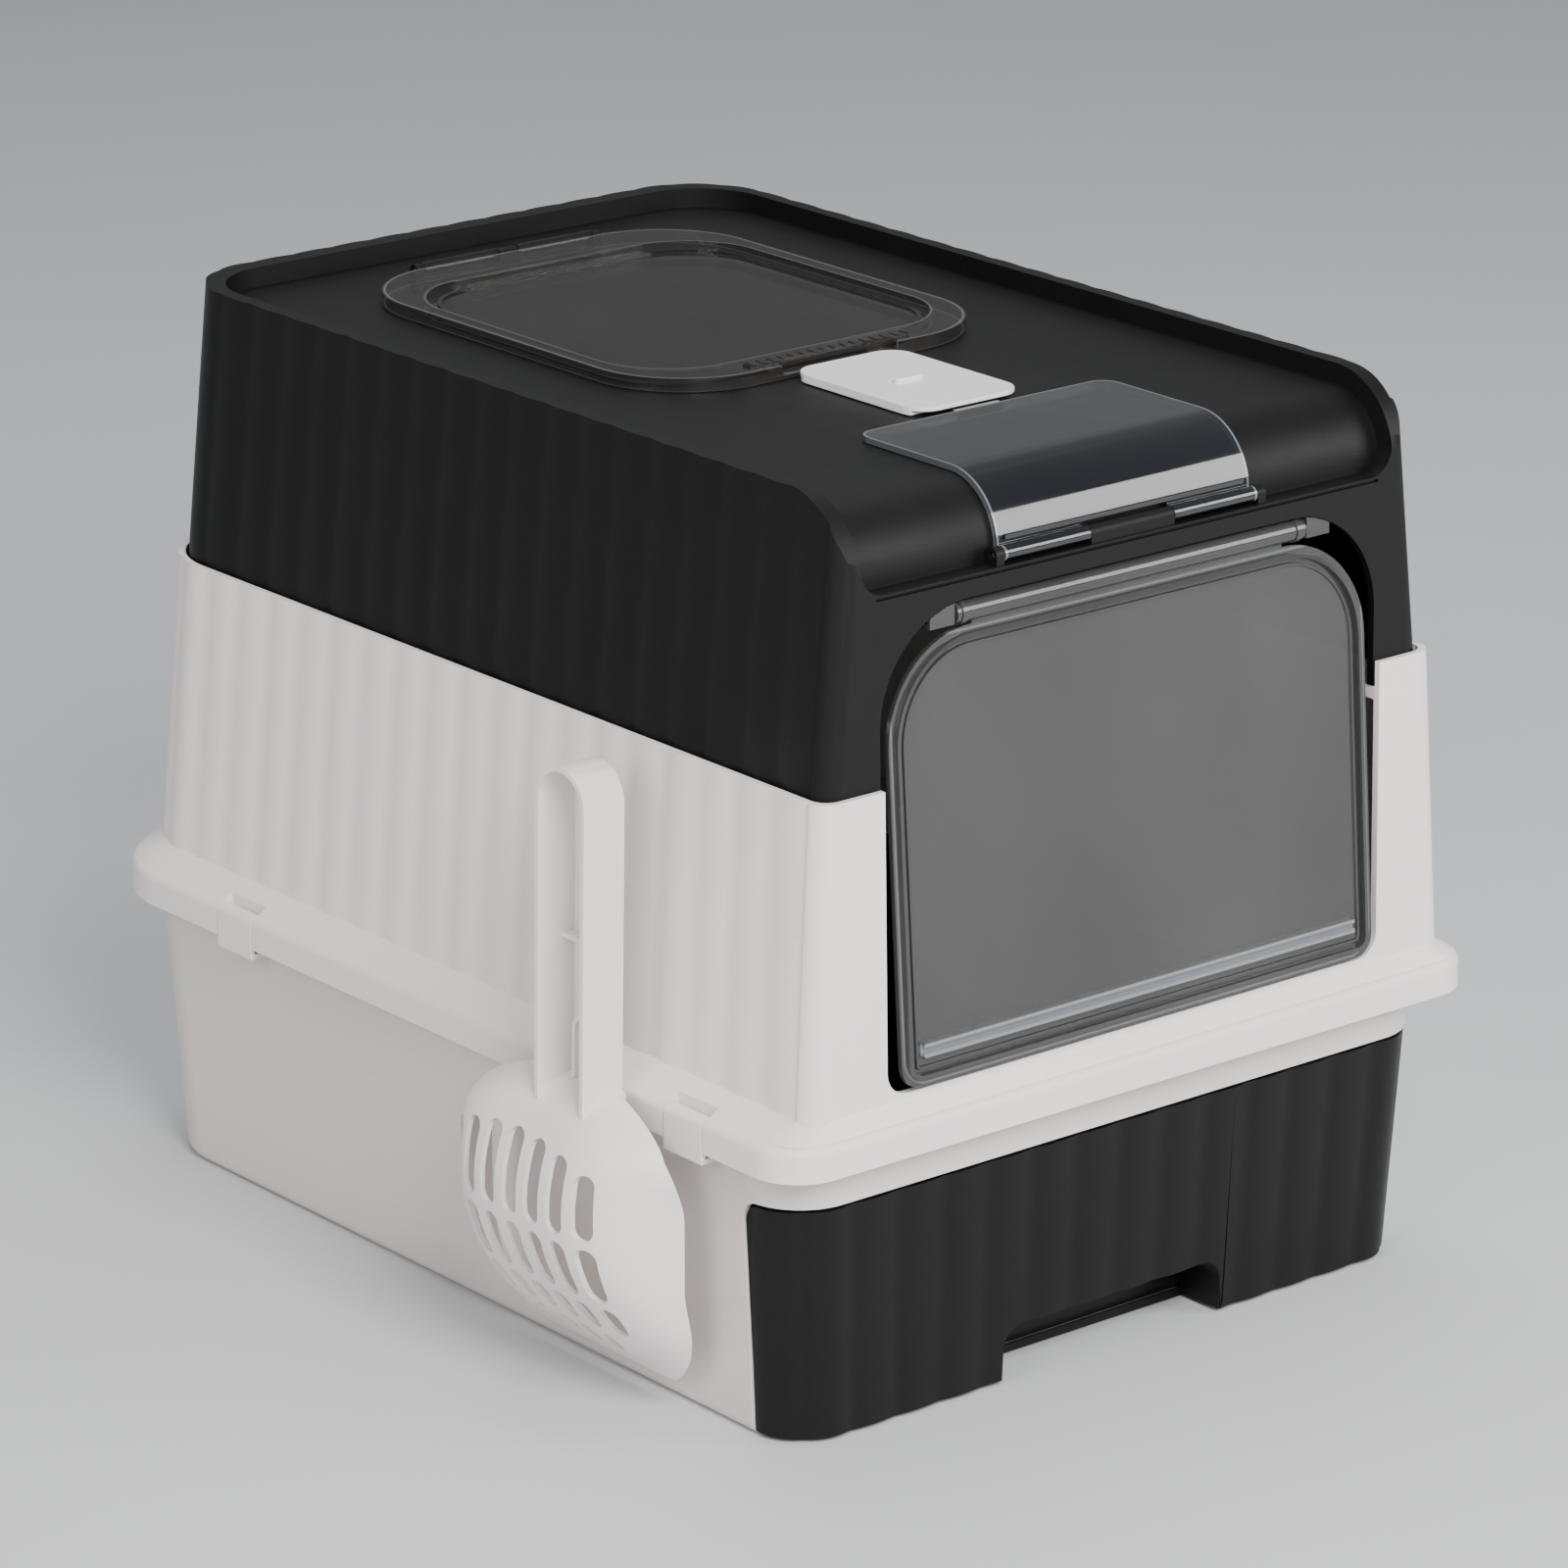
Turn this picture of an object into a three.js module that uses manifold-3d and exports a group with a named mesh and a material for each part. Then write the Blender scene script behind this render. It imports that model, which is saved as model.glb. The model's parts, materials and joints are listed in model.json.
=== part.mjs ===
// Hooded cat litter box: a white base with a pull-out litter drawer, a fluted white shell clipped
// on top of it, and a dark fluted hood that carries a flap door, a clear lid, a clear front window
// and a slide latch. A litter scoop hangs on the left side.
// Units are millimetres: X to the right seen from the front, Y to the back, Z up. The origin is on
// the floor, under the middle of the box.
import * as THREE from "three";
import { mergeVertices } from "three/addons/utils/BufferGeometryUtils.js";
import Module from "manifold-3d";

const wasm = await Module();
wasm.setup();

// Shared sizes
const GAP = 0.3;
const ARC_STEPS = 6;
const ROD_SIDES = 12;
const FLUTE_PITCH = 25;
const FLUTE_DEPTH = 1.3;
const STEPS_PER_FLUTE = 2;

// Drafted walls: half width, front and back at two heights, and in line at every other height
const TRAY_WALL = {
  low: { z: 0, half: 184.8, front: -241, back: 243 },
  high: { z: 133.5, half: 191.6, front: -247, back: 250 },
};
const SHELL_WALL = {
  low: { z: 158, half: 187.5, front: -255.4, back: 262 },
  high: { z: 297, half: 178.9, front: -252.6, back: 253.8 },
};
const HOOD_WALL = {
  low: { z: 285.3, half: 175.6, front: -249.1, back: 250.7 },
  high: { z: 425, half: 161.6, front: -246.4, back: 248 },
};

// Base tray
const TRAY_THICK = 3;
const TRAY_TOP = 133.5;
const TRAY_RIM = { half: 199.5, front: -256.5, back: 259.5, bottom: 130.5 };
const DRAWER_BAY = { top: 112, sideFront: -213.5 };

// Upper shell
const SHELL_BOTTOM = TRAY_TOP + GAP;
const SHELL_TOP = 297;
const SHELL_THICK = 3.6;
const LEDGE = { bottom: 279, top: 285, reach: 10 };
const SOCKET_THICK = 3;
const FLANGE = { half: 204.5, front: -262.5, back: 271, bottom: 133, top: 149, thick: 3 };
const FLANGE_SLOPE = {
  low: { z: 148.9, half: 200.5, front: -260, back: 268 },
  high: { z: 157, half: 188, front: -255.6, back: 262.4 },
};
const DOORWAY = { half: 144.5, bottom: 159.5, corner: 11 };

// Hood
const HOOD_THICK = 3.8;
const ROOF = { top: 425, bend: 38, bendY: -209.4, bendZ: 387, recess: 9.5, panelThick: 3 };
const PANEL_TOP = ROOF.top - ROOF.recess;
const PANEL_UNDER = PANEL_TOP - ROOF.panelThick;
const POCKET = { half: 154, back: 237, backCorner: 36, bottom: 382, bottomCorner: 14 };
const ARCH = { half: 144, top: 372, corner: 50 };

// Flap door and its hinge
const DOOR = { half: 138.8, top: -6.5, bottom: -204, topCorner: 48, bottomCorner: 10, thick: 2.5 };
const DOOR_AXIS = { y: -243.5, z: 365.5 };
const DOOR_LEAN = THREE.MathUtils.degToRad(-4.15);
const DOOR_RIB = { outerInset: 4, innerInset: 8, front: -2.5 };
const DOOR_WEB = { half: 90, overlap: 2 };
const DOOR_BARREL = { half: 101, radius: 5, bore: 2.3 };
const DOOR_ROD = { half: 113, radius: 2 };
const BEARING = { front: -247.5, back: -238, bottom: 361.5, top: 371, lugTop: 378.5 };

// Top lid, front window and slide latch
const LID = { half: 101, front: -50, back: 196, corner: 50, bottom: PANEL_TOP + 0.4, top: 421.4 };
const LID_PANE = { half: 90, front: -29, back: 165, corner: 38, top: 418.5 };
const LID_AXIS = { y: 200, z: 420 };
const LID_HOLE = { half: 86, front: -34, back: 178, corner: 40 };
const LID_LIP = { half: 34, depth: 5.4 };
const LID_GRIP = { left: -48, right: 45, front: -43.5, back: -38, height: 1.4 };
const LID_ARM = { inner: 6, outer: 50, overlap: 4, drop: 2.6 };
const LID_EARS = { radius: 3.2, spans: [[-54.6, -50.6], [-5.4, 5.4], [50.6, 54.6]] };
const WINDOW = { half: 73, back: -146, corner: 9, lift: 0.4, thick: 2.6, bottom: 385.3 };
const WINDOW_HOLE = { half: 65, back: -152, bottom: 392, corner: 8 };
const WINDOW_AXIS = { y: -243, z: 386.4 };
const WINDOW_TAB = { half: 13, reach: 5.2 };
const WINDOW_EARS = { radius: 3.4, back: -237, spans: [[-78, -73.6], [-24, 24], [73.6, 78]] };
const KNUCKLE_GAP = { half: 24.4, front: -250, back: -236, bottom: 380, top: 391 };
const KNUCKLE = { radius: 3.5, bore: 1.8, pin: 1.5 };
const LATCH = { half: 31, front: -140, back: -50.4, corner: 12, bottom: 416, top: 420.2, travel: 5 };
const LATCH_STEM = { half: 5, front: -107, back: -83, bottom: 411.8 };
const LATCH_RELIEF = { depth: 7, clearance: 0.4 };
const LATCH_THUMB = { half: 9, front: -100, back: -92, height: 1.6 };
const LIP_TOP = 417.6;

// Drawer
const PAN = { half: 177, front: -212, back: 230, bottom: 3.5, top: 106, flare: 4.5, thick: 2.5 };
const FASCIA = { bottom: 2, top: 110.5, back: -214.2, thick: 3.6 };
const PULL = { half: 65, top: 27, corner: 10, frame: 3 };
const DRAWER_SCREW = { x: 120, z: 60, radius: 1.5, hole: 1.9, head: 3.8, headDepth: 2.4, boss: 4.5 };
const LATCH_SCREW = { y: -95, radius: 1.4, hole: 1.8, head: 3.4, headDepth: 2.2 };
const RETAINER = { half: 12, front: -112, back: -78, thick: 2.5 };

// Side clips
const CLIP = { width: 26.6, axisX: 200.5, axisZ: 144.5, barrel: 4.2, thick: 2.5, bottom: 127.5 };
const CLIP_HOOK = { lip: 2.7, reachTop: 196.5, reachBottom: 197.5 };
const CLIP_STUB = { out: 3.5, radius: 1.2, bore: 1.5, sides: 8 };
const CLIP_LUG = { inner: 195.8, outer: 203, width: 4, bottom: 142, top: 147 };
const CLIP_NOTCH = { inner: 195.6, outer: 208, side: 0.5, bottom: 125, top: 152 };
const CLIP_PLACES = { front: -189.5, rear: 145.5 };

// Scoop
const SCOOP_Y = -137.5;
const BOWL_Y = -125;
const SCOOP_HANDLE = { width: 34, bottom: 120, top: 296, backX: -210, depth: 22, wall: 2.2 };
const HANDLE_LEAN = 1;
const SCOOP_HOOK = { inner: -206.4, outer: -207.9, bottom: 138.5, under: 151.5, top: 154, half: 5 };
const SCOOP_LOOP = { inner: -204.8, outer: -209.4, bottom: 136, top: 150, half: 8, wall: 1.2, side: 2.4 };
const SCOOP_BOWL = { width: 150, thick: 2.4, tipRadius: 40, tipZ: 52, shoulderZ: 112 };
const BOWL_NECK = { front: -160, back: -105, z: 151, shoulder: 50, shoulderTop: 149, sideTop: 136 };
const BOWL_POINTS = [
  [-212.8, 150], [-229, 143], [-242, 126], [-248, 103], [-245, 80], [-234, 57], [-216.5, 34], [-195, 14],
];
const BOWL_STEPS = 10;
const SLOT = { pitch: 16, half: 4.8, end: 4.7 };
const SLOT_ROWS = [
  { bottom: 90, top: 128, columns: 7 },
  { bottom: 59, top: 86, columns: 7 },
  { bottom: 39, top: 54, columns: 7 },
  { bottom: 25, top: 35, columns: 5 },
];
const HANDLE_RIB = { depth: 9, bottom: 213, top: 215 };
const HANDLE_PIVOT_Z = 140;

// Solids from three.js geometry -------------------------------------------------------------

function solidOf(geometry) {
  geometry.deleteAttribute("normal");
  geometry.deleteAttribute("uv");
  const merged = mergeVertices(geometry, 1e-4);
  const vertProperties = Float32Array.from(merged.attributes.position.array);
  const triVerts = Uint32Array.from(merged.index.array);
  return new wasm.Manifold(new wasm.Mesh({ numProp: 3, vertProperties, triVerts }));
}

function meshOf(name, solid, material) {
  const { vertProperties, triVerts } = solid.getMesh();
  const geometry = new THREE.BufferGeometry();
  geometry.setAttribute("position", new THREE.BufferAttribute(vertProperties, 3));
  geometry.setIndex(new THREE.BufferAttribute(triVerts, 1));
  const mesh = new THREE.Mesh(geometry, material);
  mesh.name = name;
  return mesh;
}

const join = (first, ...others) => others.reduce((sum, other) => sum.add(other), first);
const cut = (first, ...tools) => tools.reduce((rest, tool) => rest.subtract(tool), first);
const common = (first, ...others) => others.reduce((shared, other) => shared.intersect(other), first);
const inOrder = (a, b) => [Math.min(a, b), Math.max(a, b)];

function block(x0, x1, y0, y1, z0, z1) {
  const geometry = new THREE.BoxGeometry(x1 - x0, y1 - y0, z1 - z0);
  geometry.translate((x0 + x1) / 2, (y0 + y1) / 2, (z0 + z1) / 2);
  return solidOf(geometry);
}

function extruded(shape, depth, curveSegments = ARC_STEPS) {
  return new THREE.ExtrudeGeometry(shape, { depth, bevelEnabled: false, curveSegments });
}

// A shape drawn in X and Y, standing from z0 to z1
function standing(shape, z0, z1) {
  return solidOf(extruded(shape, z1 - z0).translate(0, 0, z0));
}

// A shape drawn in Y and Z, running from x0 to x1
function across(shape, x0, x1, arcSteps = ARC_STEPS) {
  const turn = new THREE.Matrix4().set(0, 0, 1, x0, 1, 0, 0, 0, 0, 1, 0, 0, 0, 0, 0, 1);
  return solidOf(extruded(shape, x1 - x0, arcSteps).applyMatrix4(turn));
}

// A shape drawn in X and Z, running from y0 to y1
function along(shape, y0, y1) {
  const turn = new THREE.Matrix4().set(1, 0, 0, 0, 0, 0, -1, y1, 0, 1, 0, 0, 0, 0, 0, 1);
  return solidOf(extruded(shape, y1 - y0).applyMatrix4(turn));
}

function rodX(x0, x1, y, z, radius, sides = ROD_SIDES) {
  const geometry = new THREE.CylinderGeometry(radius, radius, x1 - x0, sides);
  geometry.rotateZ(Math.PI / 2).translate((x0 + x1) / 2, y, z);
  return solidOf(geometry);
}

function rodY(y0, y1, x, z, radius, sides = ROD_SIDES) {
  const geometry = new THREE.CylinderGeometry(radius, radius, y1 - y0, sides);
  return solidOf(geometry.translate(x, (y0 + y1) / 2, z));
}

function rodZ(z0, z1, x, y, radius, sides = ROD_SIDES) {
  const geometry = new THREE.CylinderGeometry(radius, radius, z1 - z0, sides);
  return solidOf(geometry.rotateX(Math.PI / 2).translate(x, y, (z0 + z1) / 2));
}

// A rectangle with one radius for its two lower corners and one for its two upper corners
function roundedRect(u0, u1, v0, v1, lowRadius, highRadius = lowRadius) {
  const shape = new THREE.Shape();
  const corner = (u, v, radius, quarter) => {
    if (radius > 0) shape.absarc(u, v, radius, (quarter * Math.PI) / 2, ((quarter + 1) * Math.PI) / 2);
    else shape.lineTo(u, v);
  };
  shape.moveTo(u0 + lowRadius, v0);
  corner(u1 - lowRadius, v0 + lowRadius, lowRadius, -1);
  corner(u1 - highRadius, v1 - highRadius, highRadius, 0);
  corner(u0 + highRadius, v1 - highRadius, highRadius, 1);
  if (lowRadius > 0) corner(u0 + lowRadius, v0 + lowRadius, lowRadius, 2);
  return shape;
}

const plan = (size, z0, z1, frontRadius, backRadius, inset = 0) =>
  standing(
    roundedRect(
      -size.half + inset, size.half - inset, size.front + inset, size.back - inset,
      frontRadius, backRadius,
    ),
    z0, z1,
  );

// Drafted walls -----------------------------------------------------------------------------

function level(wall, z, inset) {
  const share = (z - wall.low.z) / (wall.high.z - wall.low.z);
  const at = (key) => THREE.MathUtils.lerp(wall.low[key], wall.high[key], share);
  return { half: at("half") - inset, front: at("front") + inset, back: at("back") - inset };
}

function drafted(wall, z0, z1, outline, inset = 0) {
  const { lerp } = THREE.MathUtils;
  const low = level(wall, z0, inset);
  const high = level(wall, z1, inset);
  const geometry = extruded(outline(low), 1);
  const position = geometry.attributes.position;
  for (let i = 0; i < position.count; i++) {
    const rise = position.getZ(i);
    const depthShare = (position.getY(i) - low.front) / (low.back - low.front);
    const x = position.getX(i) * lerp(1, high.half / low.half, rise);
    const y = lerp(lerp(low.front, low.back, depthShare), lerp(high.front, high.back, depthShare), rise);
    position.setXYZ(i, x, y, lerp(z0, z1, rise));
  }
  return solidOf(geometry);
}

const smoothOutline = (frontRadius, backRadius) => ({ half, front, back }) =>
  roundedRect(-half, half, front, back, frontRadius, backRadius);

// Points along a counter-clockwise path with shallow flutes pressed into it, crests on the path
function fluted(path) {
  const steps = Math.round(path.getLength() / FLUTE_PITCH) * STEPS_PER_FLUTE;
  const points = [];
  for (let i = 0; i <= steps; i++) {
    const fromCrest = ((i % STEPS_PER_FLUTE) / STEPS_PER_FLUTE) * 2 - 1;
    const press = FLUTE_DEPTH * fromCrest * fromCrest;
    const point = path.getPoint(i / steps);
    const tangent = path.getTangent(i / steps);
    points.push(new THREE.Vector2(point.x - tangent.y * press, point.y + tangent.x * press));
  }
  return points;
}

// Smooth front, flutes down both sides and round the back
const flutedOutline = (frontRadius, backRadius) => ({ half, front, back }) => {
  const sides = new THREE.Path();
  sides.moveTo(half, front + frontRadius);
  sides.lineTo(half, back - backRadius);
  sides.absarc(half - backRadius, back - backRadius, backRadius, 0, Math.PI / 2);
  sides.absarc(-half + backRadius, back - backRadius, backRadius, Math.PI / 2, Math.PI);
  sides.lineTo(-half, front + frontRadius);
  const corners = new THREE.Path();
  corners.absarc(-half + frontRadius, front + frontRadius, frontRadius, Math.PI, 1.5 * Math.PI);
  corners.absarc(half - frontRadius, front + frontRadius, frontRadius, 1.5 * Math.PI, 2 * Math.PI);
  return new THREE.Shape([...fluted(sides), ...corners.getPoints(ARC_STEPS).slice(1, -1)]);
};

// Flutes across the front and round its corners, smooth elsewhere
const flutedFrontOutline = (frontRadius, backRadius) => ({ half, front, back }) => {
  const face = new THREE.Path();
  face.moveTo(-half, front + frontRadius + FLUTE_PITCH);
  face.lineTo(-half, front + frontRadius);
  face.absarc(-half + frontRadius, front + frontRadius, frontRadius, Math.PI, 1.5 * Math.PI);
  face.absarc(half - frontRadius, front + frontRadius, frontRadius, 1.5 * Math.PI, 2 * Math.PI);
  face.lineTo(half, front + frontRadius + FLUTE_PITCH);
  const rest = new THREE.Path();
  rest.absarc(half - backRadius, back - backRadius, backRadius, 0, Math.PI / 2);
  rest.absarc(-half + backRadius, back - backRadius, backRadius, Math.PI / 2, Math.PI);
  return new THREE.Shape([...fluted(face), ...rest.getPoints(ARC_STEPS)]);
};

// Materials ---------------------------------------------------------------------------------

const plastic = (color, roughness) => new THREE.MeshStandardMaterial({ color, roughness, metalness: 0 });
const clearPlastic = (color, opacity) =>
  new THREE.MeshStandardMaterial({ color, roughness: 0.1, metalness: 0, transparent: true, opacity });
const steel = () => new THREE.MeshStandardMaterial({ color: 0xb9bbbe, roughness: 0.3, metalness: 1 });
const whitePlastic = () => plastic(0xe4e0de, 0.5);
const darkPlastic = () => plastic(0x2c2c2d, 0.55);
const smokedPlastic = () => clearPlastic(0x3c3f44, 0.6);
const greyPlastic = () => clearPlastic(0x6a6c6e, 0.75);

// Base, shell and side clips ----------------------------------------------------------------

function baseTray() {
  const wall = drafted(TRAY_WALL, 0, TRAY_TOP, smoothOutline(28, 38));
  const rim = plan(TRAY_RIM, TRAY_RIM.bottom, TRAY_TOP, 32, 46);
  const inside = drafted(TRAY_WALL, TRAY_THICK, TRAY_TOP + 1, smoothOutline(25, 35), TRAY_THICK);
  const bay = block(-210, 210, -270, DRAWER_BAY.sideFront, -1, DRAWER_BAY.top);
  return meshOf("base_tray", cut(join(wall, rim), inside, bay), whitePlastic());
}

const clipSides = [
  ["left", -1],
  ["right", 1],
];
const clipRows = Object.entries(CLIP_PLACES);

// Hinge lugs inside the flange, either side of each clip, the notch that the clip fills, and the
// bore that its stub pins turn in
function clipSeats() {
  const lugs = [];
  const notches = [];
  const bores = [];
  const half = CLIP.width / 2 + CLIP_NOTCH.side;
  const ends = half + CLIP_LUG.width + 1;
  for (const [, side] of clipSides) {
    const lugX = inOrder(side * CLIP_LUG.inner, side * CLIP_LUG.outer);
    const notchX = inOrder(side * CLIP_NOTCH.inner, side * CLIP_NOTCH.outer);
    for (const [, y] of clipRows) {
      for (const end of [-1, 1]) {
        const lugY = inOrder(y + end * half, y + end * (half + CLIP_LUG.width));
        lugs.push(block(...lugX, ...lugY, CLIP_LUG.bottom, CLIP_LUG.top));
      }
      notches.push(block(...notchX, y - half, y + half, CLIP_NOTCH.bottom, CLIP_NOTCH.top));
      bores.push(rodY(y - ends, y + ends, side * CLIP.axisX, CLIP.axisZ, CLIP_STUB.bore, CLIP_STUB.sides));
    }
  }
  return { lugs, notches, bores };
}

function upperShell() {
  const wall = drafted(SHELL_WALL, SHELL_BOTTOM, SHELL_TOP, flutedOutline(10, 50));
  const skirt = cut(
    plan(FLANGE, FLANGE.bottom, FLANGE.top, 24, 60),
    plan(FLANGE, FLANGE.bottom - 1, FLANGE.top - FLANGE.thick, 21, 57, FLANGE.thick),
  );
  const slope = drafted(FLANGE_SLOPE, FLANGE_SLOPE.low.z, FLANGE_SLOPE.high.z, smoothOutline(18, 54));
  const cabin = drafted(SHELL_WALL, SHELL_BOTTOM - 1, LEDGE.bottom, smoothOutline(8, 46), SHELL_THICK);
  const throat = drafted(SHELL_WALL, LEDGE.bottom - 1, LEDGE.top + 1, smoothOutline(6, 40), LEDGE.reach);
  const socket = drafted(SHELL_WALL, LEDGE.top, SHELL_TOP + 1, smoothOutline(8, 46), SOCKET_THICK);
  const doorway = along(
    roundedRect(-DOORWAY.half, DOORWAY.half, DOORWAY.bottom, SHELL_TOP + 20, DOORWAY.corner, 0),
    -270, -235,
  );
  const seats = clipSeats();
  const body = cut(join(skirt, slope, wall), cabin, throat, socket, doorway);
  const seated = cut(join(cut(body, ...seats.notches), ...seats.lugs), ...seats.bores);
  return meshOf("upper_shell", seated, whitePlastic());
}

// A clip turns on two stub pins, and its hook catches under the rim of the tray
function sideClip(name, side, y) {
  const { axisX, axisZ, barrel, thick, bottom, width } = CLIP;
  const outer = axisX + barrel;
  const hook = new THREE.Shape();
  hook.moveTo(outer, axisZ);
  hook.lineTo(outer - thick, axisZ);
  hook.lineTo(outer - thick, bottom + CLIP_HOOK.lip);
  hook.lineTo(CLIP_HOOK.reachTop, bottom + CLIP_HOOK.lip);
  hook.lineTo(CLIP_HOOK.reachBottom, bottom);
  hook.lineTo(outer, bottom);
  const stubEnd = width / 2 + CLIP_STUB.out;
  const solid = join(
    along(hook, y - width / 2, y + width / 2),
    rodY(y - width / 2, y + width / 2, axisX, axisZ, barrel),
    rodY(y - stubEnd, y + stubEnd, axisX, axisZ, CLIP_STUB.radius, CLIP_STUB.sides),
  );
  return meshOf(name, side > 0 ? solid : solid.mirror([1, 0, 0]), whitePlastic());
}

// Hood --------------------------------------------------------------------------------------

// The roof's outline in Y and Z: flat on top, bent down at the front, set in by a depth
function roofLine(shape, inset) {
  const { bendY, bendZ, bend } = ROOF;
  shape.lineTo(bendY - bend + inset, bendZ);
  shape.absarc(bendY, bendZ, bend - inset, Math.PI, Math.PI / 2, true);
}

function hoodOuter() {
  const side = new THREE.Shape();
  side.moveTo(-260, 280);
  side.lineTo(-260, ROOF.bendZ);
  roofLine(side, -0.05);
  side.lineTo(260, ROOF.top + 0.05);
  side.lineTo(260, 280);
  const wall = drafted(HOOD_WALL, HOOD_WALL.low.z, ROOF.top, flutedOutline(10, 45));
  return common(wall, across(side, -200, 200));
}

// The space above the sunken roof panel
function pocket() {
  const above = new THREE.Shape();
  above.moveTo(-300, POCKET.bottom);
  above.lineTo(ROOF.bendY - ROOF.bend + ROOF.recess, POCKET.bottom);
  roofLine(above, ROOF.recess);
  above.lineTo(300, PANEL_TOP);
  above.lineTo(300, 500);
  above.lineTo(-300, 500);
  return common(
    across(above, -POCKET.half, POCKET.half),
    plan({ half: POCKET.half, front: -300, back: POCKET.back }, 370, 500, 0, POCKET.backCorner),
    along(roundedRect(-POCKET.half, POCKET.half, POCKET.bottom, 500, POCKET.bottomCorner, 0), -300, 300),
  );
}

// The space inside the hood, under the panel
function hoodInside() {
  const under = new THREE.Shape();
  under.moveTo(-260, 270);
  under.lineTo(-260, POCKET.bottom - ROOF.panelThick);
  under.lineTo(ROOF.bendY - ROOF.bend + ROOF.recess + ROOF.panelThick, POCKET.bottom - ROOF.panelThick);
  roofLine(under, ROOF.recess + ROOF.panelThick);
  under.lineTo(260, PANEL_UNDER);
  under.lineTo(260, 270);
  const room = drafted(HOOD_WALL, 280, ROOF.top, smoothOutline(7, 41), HOOD_THICK);
  return common(room, across(under, -200, 200));
}

function archShape(inset = 0) {
  return roundedRect(-ARCH.half + inset, ARCH.half - inset, 270, ARCH.top - inset, 0, ARCH.corner - inset);
}

function lidEar(x0, x1) {
  const { radius } = LID_EARS;
  const foot = block(x0, x1, LID_AXIS.y - radius, LID_AXIS.y + radius, PANEL_TOP - 1, LID_AXIS.z);
  return join(foot, rodX(x0, x1, LID_AXIS.y, LID_AXIS.z, radius));
}

function windowEar(x0, x1) {
  const { radius, back } = WINDOW_EARS;
  const foot = block(x0, x1, WINDOW_AXIS.y - radius, back, POCKET.bottom - 1, WINDOW_AXIS.z);
  return join(foot, rodX(x0, x1, WINDOW_AXIS.y, WINDOW_AXIS.z, radius));
}

function windowHole() {
  const { half, back, bottom, corner } = WINDOW_HOLE;
  return common(
    plan({ half, front: -300, back }, 380, 440, 0, corner),
    along(roundedRect(-half, half, bottom, 440, corner, 0), -300, back),
  );
}

function hood() {
  const shell = cut(
    hoodOuter(),
    pocket(),
    hoodInside(),
    along(archShape(), -270, -228),
    plan(LID_HOLE, 400, 430, LID_HOLE.corner, LID_HOLE.corner),
    windowHole(),
    block(-LATCH_STEM.half - 0.5, LATCH_STEM.half + 0.5, LATCH_STEM.front - LATCH.travel - 1,
      LATCH_STEM.back + LATCH.travel + 1, 400, 430),
  );
  const ears = [
    ...LID_EARS.spans.map((span) => lidEar(...span)),
    ...WINDOW_EARS.spans.map((span) => windowEar(...span)),
  ];
  const pinHoles = [
    rodX(-60, 60, LID_AXIS.y, LID_AXIS.z, KNUCKLE.bore),
    rodX(-80, 80, WINDOW_AXIS.y, WINDOW_AXIS.z, KNUCKLE.bore),
  ];
  return meshOf("hood", cut(join(shell, ...ears), ...pinHoles), darkPlastic());
}

// Flap door, drawn upright about its hinge line and then leaned --------------------------------

function frontDoor() {
  const { half, top, bottom, topCorner, bottomCorner, thick } = DOOR;
  const outline = (inset) =>
    roundedRect(
      -half + inset, half - inset, bottom + inset, top - inset, bottomCorner - inset, topCorner - inset,
    );
  const { outerInset, innerInset, front } = DOOR_RIB;
  const pane = along(outline(0), -0.5, thick - 0.5);
  const rib = cut(along(outline(outerInset), front, 0), along(outline(innerInset), front - 0.5, 1));
  const web = block(-DOOR_WEB.half, DOOR_WEB.half, -0.5, thick - 0.5, top - DOOR_WEB.overlap, 0);
  const barrel = rodX(-DOOR_BARREL.half, DOOR_BARREL.half, 0, 0, DOOR_BARREL.radius);
  const bore = rodX(-120, 120, 0, 0, DOOR_BARREL.bore);
  const mesh = meshOf("front_door", cut(join(pane, rib, web, barrel), bore), greyPlastic());
  mesh.position.set(0, DOOR_AXIS.y, DOOR_AXIS.z);
  mesh.rotation.x = DOOR_LEAN;
  return mesh;
}

function doorRod() {
  const rod = rodX(-DOOR_ROD.half, DOOR_ROD.half, DOOR_AXIS.y, DOOR_AXIS.z, DOOR_ROD.radius);
  return meshOf("door_rod", rod, steel());
}

// A bearing stands in the arch beside the barrel and is held behind the hood's front wall
function doorBearing(name, side) {
  const [x0, x1] = inOrder(side * (DOOR_BARREL.half + 1.2), side * (DOOR_ROD.half + 3));
  const { front, back, bottom, top, lugTop } = BEARING;
  const inArch = common(block(x0, x1, front, back, bottom, top), along(archShape(GAP), -260, -230));
  const wallInside = level(HOOD_WALL, lugTop, HOOD_THICK).front;
  const behind = block(x0, x1, wallInside + GAP, back, bottom, lugTop);
  const bore = rodX(x0 - 1, x1 + 1, DOOR_AXIS.y, DOOR_AXIS.z, DOOR_BARREL.bore);
  return meshOf(name, cut(join(inArch, behind), bore), greyPlastic());
}

// Top lid, front window and slide latch -------------------------------------------------------

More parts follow.
